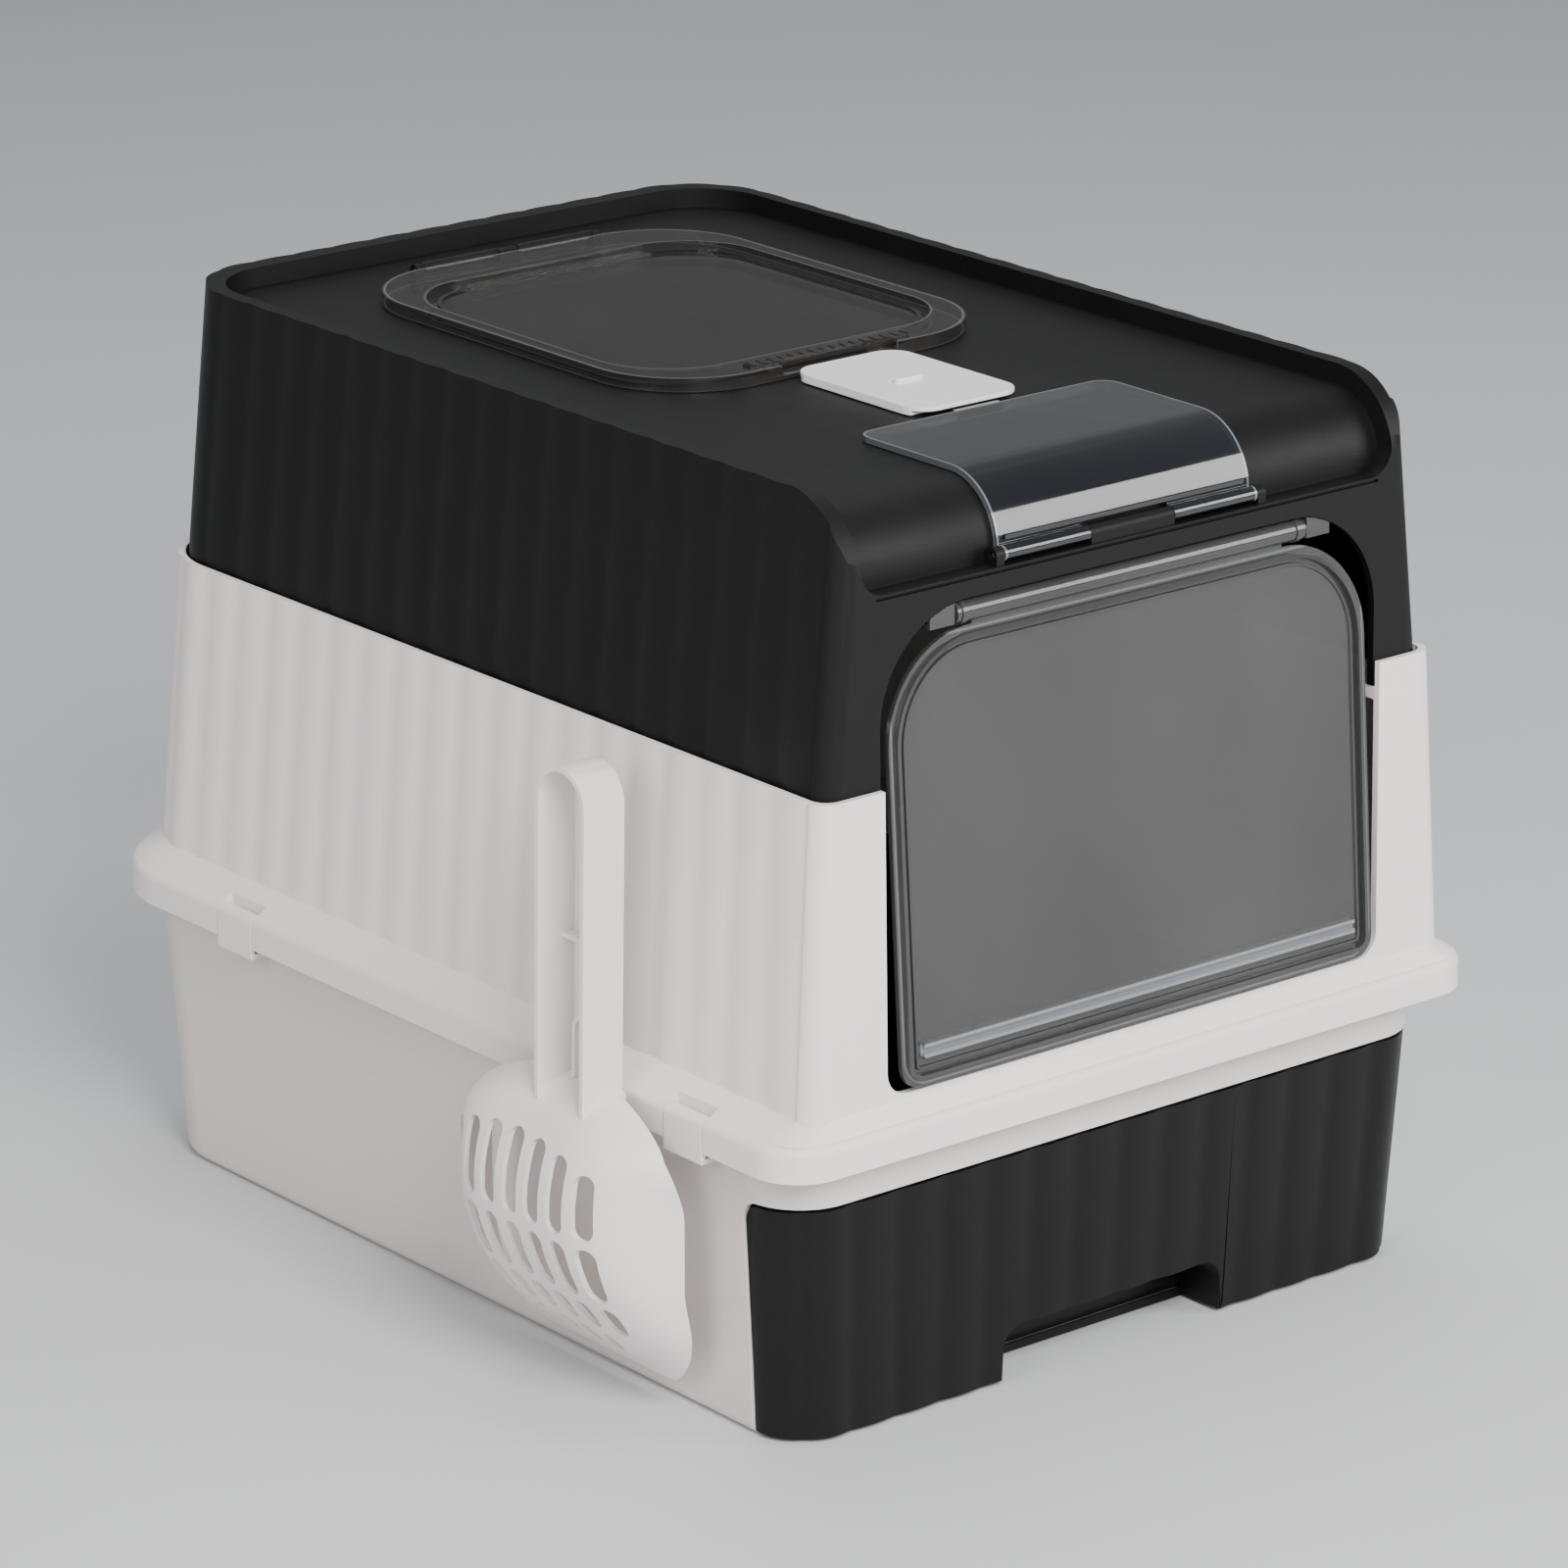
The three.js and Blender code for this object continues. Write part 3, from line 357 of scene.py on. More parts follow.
def hood_holes():
    """Cutters for the arch, the lid's and window's holes, the latch's slot and the front groove."""
    arch = block(-ARCH_HALF, ARCH_HALF, -0.27, -0.228, 0.27, ARCH_TOP)
    round_edges(arch, "Y", lambda at: at.z > 0.35, ARCH_CORNER, 20)
    lid_hole = plate(*LID_HOLE, (0.4, 0.43), LID_HOLE_CORNER)
    half = WINDOW_HOLE_HALF
    window_hole = block(-half, half, -0.3, WINDOW_HOLE_BACK, WINDOW_HOLE_BOTTOM, 0.44)
    round_edges(window_hole, "Z", lambda at: at.y > -0.2, WINDOW_HOLE_CORNER)
    round_edges(window_hole, "Y", lambda at: at.z < 0.4, WINDOW_HOLE_CORNER)
    latch_slot = block(*LATCH_SLOT, 0.4, 0.43)
    groove_z = [GROOVE_Z - drop for drop in GROOVE_DROP]
    groove = block(-GROOVE_HALF, GROOVE_HALF, -0.26, GROOVE_BACK, *groove_z)
    return arch, lid_hole, window_hole, latch_slot, groove


# Base and upper shell ----------------------------------------------------------------------------

TRAY_THICK = 0.003
TRAY_CORNERS = (0.028, 0.038)
TRAY_INNER_CORNERS = (0.025, 0.035)
TRAY_RIM_CORNERS = (0.032, 0.046)
TRAY_FOOT = 0.005
BAY_BACK = -0.2135
BAY_TOP = 0.112
DRAWER_CORNER = 0.0085

SHELL_BOTTOM = 0.1338
SHELL_THICK = 0.0036
SHELL_CORNERS = (0.01, 0.05)
SHELL_INNER_CORNERS = (0.008, 0.046)
LEDGE_BOTTOM = 0.279
LEDGE_TOP = 0.285
LEDGE_REACH = 0.01
THROAT_CORNERS = (0.006, 0.04)
SOCKET_THICK = 0.003
FLANGE_TOP = 0.149
FLANGE_THICK = 0.003
FLANGE_EDGE = 0.0045
FLANGE_CORNERS = (0.024, 0.06)
FLANGE_INNER_CORNERS = (0.021, 0.057)
SLOPE_CORNERS = (0.018, 0.054)
DOORWAY_HALF = 0.1445
DOORWAY_SILL = 0.1595
DOORWAY_CORNER = 0.011

CLIP_ROWS = (-0.1895, 0.1455)
CLIP_NOTCH_HALF = 0.0138
CLIP_NOTCH_X = (0.1956, 0.208)
CLIP_NOTCH_Z = (0.125, 0.152)
CLIP_LUG_WIDTH = 0.004
CLIP_LUG_X = (0.1958, 0.203)
CLIP_LUG_Z = (0.142, 0.1475)


def tray():
    lo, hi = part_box("base_tray")
    body = drafted(TRAY_WALL, 0.0, hi.z, *TRAY_CORNERS)
    work(body, "EDGE", lambda a, b: a.z < 1e-4 and b.z < 1e-4, bpy.ops.mesh.bevel,
         offset=TRAY_FOOT, segments=5, affect="EDGES")
    rim = plate((lo.x, hi.x), (lo.y, hi.y), (hi.z - TRAY_THICK, hi.z), *TRAY_RIM_CORNERS)
    join(body, rim)
    inside = drafted(TRAY_WALL, TRAY_THICK, hi.z + 0.001, *TRAY_INNER_CORNERS, inset=TRAY_THICK)
    bay = block(-0.21, 0.21, -0.27, BAY_BACK, -0.001, BAY_TOP)
    round_edges(bay, "X", lambda at: at.y > -0.25 and at.z > 0.1, DRAWER_CORNER)
    cut(body, inside, bay)
    return soften(body, 0.0009)


def flange():
    """The hollow skirt round the foot of the shell, with a rounded upper edge and a slope above it."""
    lo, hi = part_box("upper_shell")
    skirt = plate((lo.x, hi.x), (lo.y, hi.y), (lo.z, FLANGE_TOP), *FLANGE_CORNERS, 16)
    work(skirt, "EDGE", lambda a, b: min(a.z, b.z) > FLANGE_TOP - 0.0001, bpy.ops.mesh.bevel,
         offset=FLANGE_EDGE, segments=6, affect="EDGES")
    hollow = plate((lo.x + FLANGE_THICK, hi.x - FLANGE_THICK), (lo.y + FLANGE_THICK, hi.y - FLANGE_THICK),
                   (lo.z - 0.001, FLANGE_TOP - FLANGE_THICK), *FLANGE_INNER_CORNERS, 16)
    cut(skirt, hollow)
    return skirt, drafted(FLANGE_SLOPE, FLANGE_SLOPE[0][0], FLANGE_SLOPE[1][0], *SLOPE_CORNERS)


def shell():
    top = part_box("upper_shell")[1].z
    body = drafted(SHELL_WALL, SHELL_BOTTOM, top, *SHELL_CORNERS, fluted="back")
    join(body, *flange())
    cabin = drafted(SHELL_WALL, SHELL_BOTTOM - 0.001, LEDGE_BOTTOM, *SHELL_INNER_CORNERS,
                    inset=SHELL_THICK)
    throat = drafted(SHELL_WALL, LEDGE_BOTTOM - 0.001, LEDGE_TOP + 0.001, *THROAT_CORNERS,
                     inset=LEDGE_REACH)
    socket = drafted(SHELL_WALL, LEDGE_TOP, top + 0.001, *SHELL_INNER_CORNERS, inset=SOCKET_THICK)
    doorway = block(-DOORWAY_HALF, DOORWAY_HALF, -0.27, -0.235, DOORWAY_SILL, 0.32)
    round_edges(doorway, "Y", lambda at: at.z < 0.2, DOORWAY_CORNER)
    cut(body, cabin, throat, socket, doorway)
    for side in (-1, 1):
        notch_x = sorted(side * x for x in CLIP_NOTCH_X)
        lug_x = sorted(side * x for x in CLIP_LUG_X)
        for y in CLIP_ROWS:
            front, back = y - CLIP_NOTCH_HALF, y + CLIP_NOTCH_HALF
            cut(body, block(*notch_x, front, back, *CLIP_NOTCH_Z))
            for lug_y in (front - CLIP_LUG_WIDTH, back):
                join(body, block(*lug_x, lug_y, lug_y + CLIP_LUG_WIDTH, *CLIP_LUG_Z))
    return soften(body, 0.0008)


# Camera, light and floor -------------------------------------------------------------------------

LOOKED_AT = Vector((0, 0, 0.2))
CAMERA_LENS = 159.8
CAMERA_SHIFT = (0.0079, 0.0067)
CAMERA_DISTANCE = 3.2396
CAMERA_AZIMUTH = -39.26
CAMERA_ELEVATION = 18.5
WORLD_COLOUR = (0.86, 0.88, 0.9, 1)
WORLD_STRENGTH = 0.36

# Each light is its name, azimuth, elevation, distance, size, power and colour
LIGHTS = [
    ("key", -20, 34, 2.7, 1.2, 90, (1.0, 0.985, 0.97)),
    ("front", 39, 19, 2.9, 1.3, 48, (1.0, 0.995, 0.985)),
    ("side", -72, 26, 3.2, 1.6, 40, (1.0, 0.965, 0.94)),
    ("top", 150, 72, 2.8, 1.6, 30, (0.97, 0.98, 1.0)),
]


def look_from(distance, azimuth, elevation):
    """A place, and the turn that faces the box from there; azimuth 0 is the front."""
    a, e = math.radians(azimuth), math.radians(elevation)
    back = Vector((math.sin(a) * math.cos(e), -math.cos(a) * math.cos(e), math.sin(e)))
    return LOOKED_AT + back * distance, (-back).to_track_quat("-Z", "Y")


def camera():
    data = bpy.data.cameras.new("camera")
    data.sensor_width, data.lens = 36, CAMERA_LENS
    data.shift_x, data.shift_y = CAMERA_SHIFT
    data.clip_end = 50
    eye = bpy.data.objects.new("camera", data)
    eye.rotation_mode = "QUATERNION"
    eye.location, eye.rotation_quaternion = look_from(CAMERA_DISTANCE, CAMERA_AZIMUTH, CAMERA_ELEVATION)
    bpy.context.collection.objects.link(eye)
    bpy.context.scene.camera = eye


def soft_box(name, azimuth, elevation, distance, size, power, colour):
    data = bpy.data.lights.new(name, "AREA")
    data.shape, data.size, data.energy, data.color = "SQUARE", size, power, colour
    lamp = bpy.data.objects.new(name, data)
    lamp.rotation_mode = "QUATERNION"
    lamp.location, lamp.rotation_quaternion = look_from(distance, azimuth, elevation)
    bpy.context.collection.objects.link(lamp)


def studio():
    for light in LIGHTS:
        soft_box(*light)
    world = bpy.data.worlds.new("studio")
    world.use_nodes = True
    background = world.node_tree.nodes["Background"]
    background.inputs["Color"].default_value = WORLD_COLOUR
    background.inputs["Strength"].default_value = WORLD_STRENGTH
    bpy.context.scene.world = world


def floor():
    bpy.ops.mesh.primitive_plane_add(size=FLOOR_SIZE, location=(0, 0, -0.0002))
    ground = bpy.context.object
    ground.name = "floor"
    return ground


# Door, lid, window and latch ---------------------------------------------------------------------

def terrace(piece, facing, steps):
    """Works concentric steps into one flat face: each is (width, rise)."""
    for width, rise in steps:
        work(piece, "FACE", facing, bpy.ops.mesh.inset, thickness=width, depth=rise)


def broad_face(axis, sign, smallest):
    """A test for a large flat face that looks along an axis."""
    return lambda face: face.normal[axis] * sign > 0.99 and face.area > smallest


# The door is drawn upright about its hinge line, at height 0, and then leaned
DOOR_TOP = -0.0065
DOOR_BOTTOM = -0.204
DOOR_FACES = (-0.0005, 0.002)
DOOR_TOP_CORNER = 0.048
DOOR_BOTTOM_CORNER = 0.01
DOOR_RIM = [(0.003, 0), (0.0005, 0.0019), (0.0018, 0.0001), (0.0005, -0.003), (0.0018, 0),
            (0.0004, 0.0014), (0.0009, 0), (0.0004, -0.001)]
DOOR_BACK_RIM = [(0.006, 0), (0.0012, -0.0006)]
RAIL_HALF = 0.127
RAIL_LIFTS = (0.0125, 0.0172)
RAIL_HEIGHT = 0.0022
WEB_HALF = 0.09
BARREL_RADIUS = 0.005
BARREL_LENGTH = 0.202
BARREL_BORE = 0.0023
COLLAR_X = 0.097
COLLAR_RADIUS = 0.0056


def flap_door():
    door = block(-DOOR_HALF, DOOR_HALF, *DOOR_FACES, DOOR_BOTTOM, DOOR_TOP)
    round_edges(door, "Y", lambda at: at.z > -0.1, DOOR_TOP_CORNER, 20)
    round_edges(door, "Y", lambda at: at.z < -0.1, DOOR_BOTTOM_CORNER, 10)
    terrace(door, broad_face(1, -1, 0.03), DOOR_RIM)
    terrace(door, broad_face(1, 1, 0.03), DOOR_BACK_RIM)
    for lift in RAIL_LIFTS:
        low = DOOR_BOTTOM + lift
        join(door, block(-RAIL_HALF, RAIL_HALF, -0.0022, 0.0005, low, low + RAIL_HEIGHT))
    web = block(-WEB_HALF, WEB_HALF, *DOOR_FACES, DOOR_TOP - 0.002, 0)
    join(door, web, rod("X", (0, 0, 0), BARREL_RADIUS, BARREL_LENGTH, 40))
    for x in (-COLLAR_X, COLLAR_X):
        join(door, rod("X", (x, 0, 0), COLLAR_RADIUS, 0.003, 40))
    cut(door, rod("X", (0, 0, 0), BARREL_BORE, 0.24))
    place = Matrix.Translation(DOOR_AXIS) @ Matrix.Rotation(DOOR_LEAN, 4, "X")
    move(door, lambda co: place @ co)
    return soften(door, 0.0004, 2, 30)


LID_FRAME = ((-0.101, 0.101), (-0.05, 0.196))
LID_CORNER = 0.05
LID_BOTTOM = 0.4159
LID_SINK = ((-0.0915, 0.0915), (-0.029, 0.167))
LID_SINK_CORNER = 0.04
LID_PANE_TOP = 0.4185
LID_STEP = (((-0.0865, 0.0865), (-0.0255, 0.1615)), ((-0.0845, 0.0845), (-0.0235, 0.1595)))
LID_STEP_CORNERS = (0.0345, 0.0325)
LID_STEP_Z = (0.4182, 0.4195)
LIP = (-0.034, 0.034, -0.051, -0.0446)
LIP_TOP = 0.4176
GRIP_X = (-0.048, 0.045)
GRIP_Y = (-0.0435, -0.038)
GRIP_HEIGHT = 0.0014
GRIP_RIDGES = 16
GRIP_START = -0.0465
GRIP_PITCH = 0.006
GRIP_RIDGE_WIDTH = 0.002
LID_ARMS = ((-0.05, -0.006), (0.006, 0.05))
KNUCKLE_RADIUS = 0.0035


def roof_lid():
    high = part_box("top_lid")[1].z
    top = high - GRIP_HEIGHT
    lid = plate(*LID_FRAME, (LID_BOTTOM, top), LID_CORNER, segments=20)
    sink = plate(*LID_SINK, (LID_PANE_TOP, top + 0.01), LID_SINK_CORNER, segments=20)
    cut(lid, sink, block(*LIP, LIP_TOP, top + 0.001))
    outer, inner = LID_STEP
    step = plate(*outer, LID_STEP_Z, LID_STEP_CORNERS[0], segments=20)
    cut(step, plate(*inner, (0.41, 0.43), LID_STEP_CORNERS[1], segments=20))
    join(lid, step)
    join(lid, block(*GRIP_X, *GRIP_Y, top - 0.001, high - 0.0004))
    for i in range(GRIP_RIDGES):
        x = GRIP_START + i * GRIP_PITCH
        join(lid, block(x, x + GRIP_RIDGE_WIDTH, *GRIP_Y, top, high))
    for x0, x1 in LID_ARMS:
        arm = block(x0, x1, LID_FRAME[1][1] - 0.004, LID_AXIS.y, LID_AXIS.z - 0.0026, top)
        barrel = rod("X", ((x0 + x1) / 2, LID_AXIS.y, LID_AXIS.z), KNUCKLE_RADIUS, x1 - x0)
        join(lid, arm, barrel)
    cut(lid, rod("X", LID_AXIS, PIN_BORE, 0.12))
    return soften(lid, 0.0009)


WINDOW_GAP = 0.0004
WINDOW_THICK = 0.0026
WINDOW_BACK = -0.146
WINDOW_CORNER = 0.009
WINDOW_BOTTOM = 0.3853
TAB_HALF = 0.013
TAB_TOP = 0.4176
PANE_RIDGE = (-0.069, 0.069)
PANE_RIDGE_Z = (0.3915, 0.3935)
KNUCKLE_ROOM = (-0.0244, 0.0244, -0.25, -0.236, 0.38, 0.391)


def window_pane():
    """A flat pane whose front edge is spun down round the bend of the roof."""
    lo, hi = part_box("front_window")
    inner = BEND_RADIUS - PANEL_RECESS + WINDOW_GAP
    outer = inner + WINDOW_THICK
    pane = block(lo.x, hi.x, BEND_Y, WINDOW_BACK, BEND_Z + inner, BEND_Z + outer)
    round_edges(pane, "Z", lambda at: at.y > WINDOW_BACK - 0.004, WINDOW_CORNER)
    work(pane, "FACE", lambda face: face.normal.y < -0.9, bpy.ops.mesh.spin, steps=20,
         angle=math.pi / 2, center=(0, BEND_Y, BEND_Z), axis=(-1, 0, 0), dupli=False)
    if min(vertex.co.y for vertex in pane.data.vertices) > BEND_Y - inner:
        raise ValueError("the pane turned the wrong way")
    join(pane, block(lo.x, hi.x, BEND_Y - outer, BEND_Y - inner, WINDOW_BOTTOM, BEND_Z + 0.0005))
    face = BEND_Y - outer
    ridge = block(*PANE_RIDGE, face - 0.0006, face + 0.0005, *PANE_RIDGE_Z)
    join(pane, ridge, rod("X", WINDOW_AXIS, KNUCKLE_RADIUS, hi.x - lo.x, 40))
    join(pane, block(-TAB_HALF, TAB_HALF, WINDOW_BACK - 0.001, hi.y, BEND_Z + inner, TAB_TOP))
    cut(pane, block(*KNUCKLE_ROOM), rod("X", WINDOW_AXIS, PIN_BORE, 0.16))
    return soften(pane, 0.0006)


LATCH_HALF = 0.031
LATCH_FACES = (0.416, 0.4202)
LATCH_CORNER = 0.012
RELIEF_DEPTH = 0.007
RELIEF_TOP = 0.418
THUMB_WELL = ((-0.0105, 0.0105), (-0.1005, -0.0915))
THUMB_RIDGE = ((-0.0075, 0.0075), (-0.098, -0.094))
LATCH_STEM = (-0.005, 0.005, -0.107, -0.083, 0.4118, 0.417)


def latch_plate():
    lo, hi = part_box("latch_slider")
    top = LATCH_FACES[1]
    latch = plate((-LATCH_HALF, LATCH_HALF), (lo.y, hi.y), LATCH_FACES, LATCH_CORNER)
    reliefs = [block(-0.04, 0.04, hi.y - RELIEF_DEPTH, hi.y + 0.001, 0.415, RELIEF_TOP),
               block(-0.04, 0.04, lo.y - 0.001, lo.y + RELIEF_DEPTH, 0.415, RELIEF_TOP)]
    cut(latch, *reliefs)
    terrace(latch, broad_face(2, 1, 0.003), [(0.0022, -0.0003)])
    cut(latch, plate(*THUMB_WELL, (top - 0.0014, top + 0.01), 0.0042))
    ridge = plate(*THUMB_RIDGE, (top - 0.002, top + 0.0012), 0.0018)
    join(latch, ridge, block(*LATCH_STEM))
    return soften(latch, 0.0007)


# Drawer front ------------------------------------------------------------------------------------

PANEL_WALL = 0.0036
PANEL_LID = 0.003
CUP_HALF = 0.068
CUP_TOP = 0.03
CUP_CORNER = 0.012
GRIP_HALF = 0.065
GRIP_TOP = 0.027
GRIP_CORNER = 0.01
KICK_HALF = 0.0675
KICK_Z = (0.0006, 0.0045)
KICK_THICK = 0.0014
BOSS_X = 0.12
BOSS_Z = 0.06
BOSS_FRONT = -0.243
BOSS_RADIUS = 0.0045
SCREW_HOLE_FRONT = -0.234
SCREW_HOLE = 0.0019


def drawer_panel():
    """The fluted drawer front: a hollow shell with a finger cup, a kick strip and two bosses."""
    lo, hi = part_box("drawer_front")
    panel = drafted(TRAY_WALL, lo.z, hi.z, *TRAY_CORNERS, fluted="front")
    hollow = drafted(TRAY_WALL, lo.z - 0.001, hi.z - PANEL_LID, *TRAY_INNER_CORNERS, inset=PANEL_WALL)
    kept = block(-0.25, 0.25, -0.27, hi.y, lo.z - 0.001, hi.z + 0.0001)
    round_edges(kept, "X", lambda at: at.y > -0.25 and at.z > 0.1, DRAWER_CORNER)
    common(cut(panel, hollow), kept)
    cup = block(-CUP_HALF, CUP_HALF, -0.241, hi.y, lo.z, CUP_TOP)
    round_edges(cup, "Y", lambda at: at.z > 0.02, CUP_CORNER)
    grip = block(-GRIP_HALF, GRIP_HALF, -0.26, -0.19, -0.005, GRIP_TOP)
    round_edges(grip, "Y", lambda at: at.z > 0.02, GRIP_CORNER)
    cut(join(panel, cup), grip)
    join(panel, block(-KICK_HALF, KICK_HALF, hi.y - KICK_THICK, hi.y, *KICK_Z))
    hole_back = hi.y + 0.001
    hole_middle = (SCREW_HOLE_FRONT + hole_back) / 2
    for x in (-BOSS_X, BOSS_X):
        join(panel, rod("Y", (x, (BOSS_FRONT + hi.y) / 2, BOSS_Z), BOSS_RADIUS, hi.y - BOSS_FRONT))
        cut(panel, rod("Y", (x, hole_middle, BOSS_Z), SCREW_HOLE, hole_back - SCREW_HOLE_FRONT))
    return soften(panel, 0.0012)


# Scoop -------------------------------------------------------------------------------------------

BOWL_CURVE = [(-0.2128, 0.151), (-0.2285, 0.1445), (-0.241, 0.128), (-0.247, 0.104),
              (-0.2445, 0.08), (-0.234, 0.057), (-0.2165, 0.034), (-0.195, 0.014)]
BOWL_HALF = 0.0705
NECK_HALF = 0.0275
BOWL_SHOULDER = 0.116
BOWL_TIP = 0.05
TIP_RADIUS = 0.038

# Each row is its lower end, its upper end and how many slots it has
SLOT_ROWS = [(0.091, 0.13, 7), (0.06, 0.087, 7), (0.041, 0.056, 7), (0.0265, 0.0365, 5)]
SLOT_PITCH = 0.0155
SLOT_SHIFT = 0.004
SLOT_HALF = 0.0051
SLOT_END = 0.005
SLOT_BOW = 0.001

# The bowl's rim leans out above the tip, and again past the flange and the front clip
RIM_TIP = -0.1955
RIM_LEAN = 0.2
RIM_OUT = -0.2084
RIM_STEP = 0.0075
RIM_STEP_Z = 0.1
RIM_STEP_RUN = 0.029
NECK_SHIFT = 0.0075
NECK_Z = 0.128

HANDLE_BACK = -0.21
HANDLE_DEPTH = 0.022
HANDLE_WIDTH = 0.034
HANDLE_Z = (0.138, 0.296)
HANDLE_WALL = 0.0023
HANDLE_LEAN = math.radians(1)
LEAN_Z = 0.14
RIB_HALF = 0.016
RIB_Z = (0.213, 0.215)
CATCH_HALF = 0.0085
CATCH_Z = (0.15, 0.18)
CATCH_WALL = 0.0018
HOOK_HALF = 0.005
HOOK_STEM = ((-0.2079, -0.2064), (0.1385, 0.154))
HOOK_LIP = ((-0.211, -0.2064), (0.1515, 0.154))


def along_curve(points, share):
    """A point on a smooth curve through the given points."""
    span = min(int(share * (len(points) - 1)), len(points) - 2)
    t = share * (len(points) - 1) - span
    a, b = Vector(points[span]), Vector(points[span + 1])
    before = Vector(points[span - 1]) if span else a * 2 - b
    after = Vector(points[span + 2]) if span + 2 < len(points) else b * 2 - a
    slope_a, slope_b = (b - before) / 2, (after - a) / 2
    return (a * (2 * t ** 3 - 3 * t ** 2 + 1) + slope_a * (t ** 3 - 2 * t ** 2 + t)
            + b * (3 * t ** 2 - 2 * t ** 3) + slope_b * (t ** 3 - t ** 2))


def bowl_half_width(z):
    if z > BOWL_SHOULDER:
        rise = (z - BOWL_SHOULDER) / (BOWL_CURVE[0][1] - BOWL_SHOULDER)
        return NECK_HALF + (BOWL_HALF - NECK_HALF) * (1 - min(rise, 1) ** 2.2)
    if z > BOWL_TIP:
        return BOWL_HALF
    return BOWL_HALF - TIP_RADIUS + math.sqrt(max(TIP_RADIUS ** 2 - (BOWL_TIP - z) ** 2, 0))


def scoop_slots():
    """Round-ended cutters: long slots near the handle, shorter ones towards the tip."""
    cutters = []
    for row, (low, high, columns) in enumerate(SLOT_ROWS):
        for i in range(columns):
            place = i - (columns - 1) / 2
            y = BOWL_Y + SLOT_SHIFT + place * SLOT_PITCH
            bow = SLOT_BOW * place ** 2 if row == 0 else 0
            slot = block(-0.26, -0.185, y - SLOT_HALF, y + SLOT_HALF, low, high - bow)
            round_edges(slot, "X", everything, SLOT_END, 6)
            cutters.append(slot)
    activate(cutters[0])
    for slot in cutters:
        slot.select_set(True)
    bpy.ops.object.join()
    return bpy.context.object


def ramp(value, start, run):
    return min(max((value - start) / run, 0), 1)


def scoop_bowl():
    """A grid pulled over the bowl's curve, with its edges drawn in to the rim, made a slotted sheet."""
    bpy.ops.mesh.primitive_grid_add(x_subdivisions=48, y_subdivisions=56, size=2)
    bowl = bpy.context.object

    def shaped(co):
        x, z = along_curve(BOWL_CURVE, (co.y + 1) / 2)
        spread = ramp(z, RIM_STEP_Z, RIM_STEP_RUN)
        rim_x = max(RIM_TIP - RIM_LEAN * z, RIM_OUT) - RIM_STEP * spread ** 2 * (3 - 2 * spread)
        wrap = max(rim_x - x, 0) * abs(co.x) ** 4.5
        neck = NECK_SHIFT * ramp(z, NECK_Z, BOWL_CURVE[0][1] - NECK_Z)
        return Vector((x + wrap, BOWL_Y - neck + co.x * bowl_half_width(z), z))

    move(bowl, shaped)
    work(bowl, "FACE", everything, bpy.ops.mesh.normals_make_consistent, inside=False)
    outwards = sum(face.normal.x for face in bowl.data.polygons) < 0
    modify(bowl, "SOLIDIFY", thickness=0.0024, offset=-1 if outwards else 1)
    return cut(bowl, scoop_slots())


def scoop_handle():
    """A channel open to the outside, with a rib across it and a catch near the bowl."""
    back, half = HANDLE_BACK, HANDLE_WIDTH / 2
    handle = block(back - HANDLE_DEPTH, back, SCOOP_Y - half, SCOOP_Y + half, *HANDLE_Z)
    round_edges(handle, "X", lambda at: at.z > 0.2, half - 0.0002, 16)
    terrace(handle, broad_face(0, -1, 0.001), [(HANDLE_WALL, 0), (0.0004, -0.0198)])
    rib = block(back - 0.009, back - 0.001, SCOOP_Y - RIB_HALF, SCOOP_Y + RIB_HALF, *RIB_Z)
    catch = block(back - 0.008, back - 0.001, SCOOP_Y - CATCH_HALF, SCOOP_Y + CATCH_HALF, *CATCH_Z)
    round_edges(catch, "X", lambda at: at.z > 0.17, 0.008, 10)
    room, room_top = CATCH_HALF - CATCH_WALL, CATCH_Z[1] - CATCH_WALL
    hollow = block(back - 0.02, back + 0.01, SCOOP_Y - room, SCOOP_Y + room, 0.14, room_top)
    round_edges(hollow, "X", lambda at: at.z > 0.17, 0.0064, 10)
    cut(catch, hollow)
    join(handle, rib, catch)
    pivot = Vector((back, 0, LEAN_Z))
    turn = Matrix.Rotation(HANDLE_LEAN, 4, "Y")
    lean = Matrix.Translation(pivot) @ turn @ Matrix.Translation(-pivot)
    move(handle, lambda co: lean @ co)
    return handle


def litter_scoop():
    scoop = join(scoop_bowl(), scoop_handle())
    for x, z in (HOOK_STEM, HOOK_LIP):
        join(scoop, block(*x, SCOOP_Y - HOOK_HALF, SCOOP_Y + HOOK_HALF, *z))
    return soften(scoop, 0.0005, 2)


# Finishes ----------------------------------------------------------------------------------------

class Value:
    """A shader socket that takes part in sums."""

    def __init__(self, finish, socket):
        self.finish, self.socket = finish, socket

    def maths(self, operation, *terms):
        return self.finish.node("ShaderNodeMath", {"operation": operation}, *terms)

    def __add__(self, other):
        return self.maths("ADD", self, other)

    def __sub__(self, other):
        return self.maths("SUBTRACT", self, other)

    def __mul__(self, other):
        return self.maths("MULTIPLY", self, other)

    def __rsub__(self, other):
        return self.maths("SUBTRACT", other, self)

    def __pow__(self, other):
        return self.maths("POWER", self, other)

    __radd__, __rmul__ = __add__, __mul__


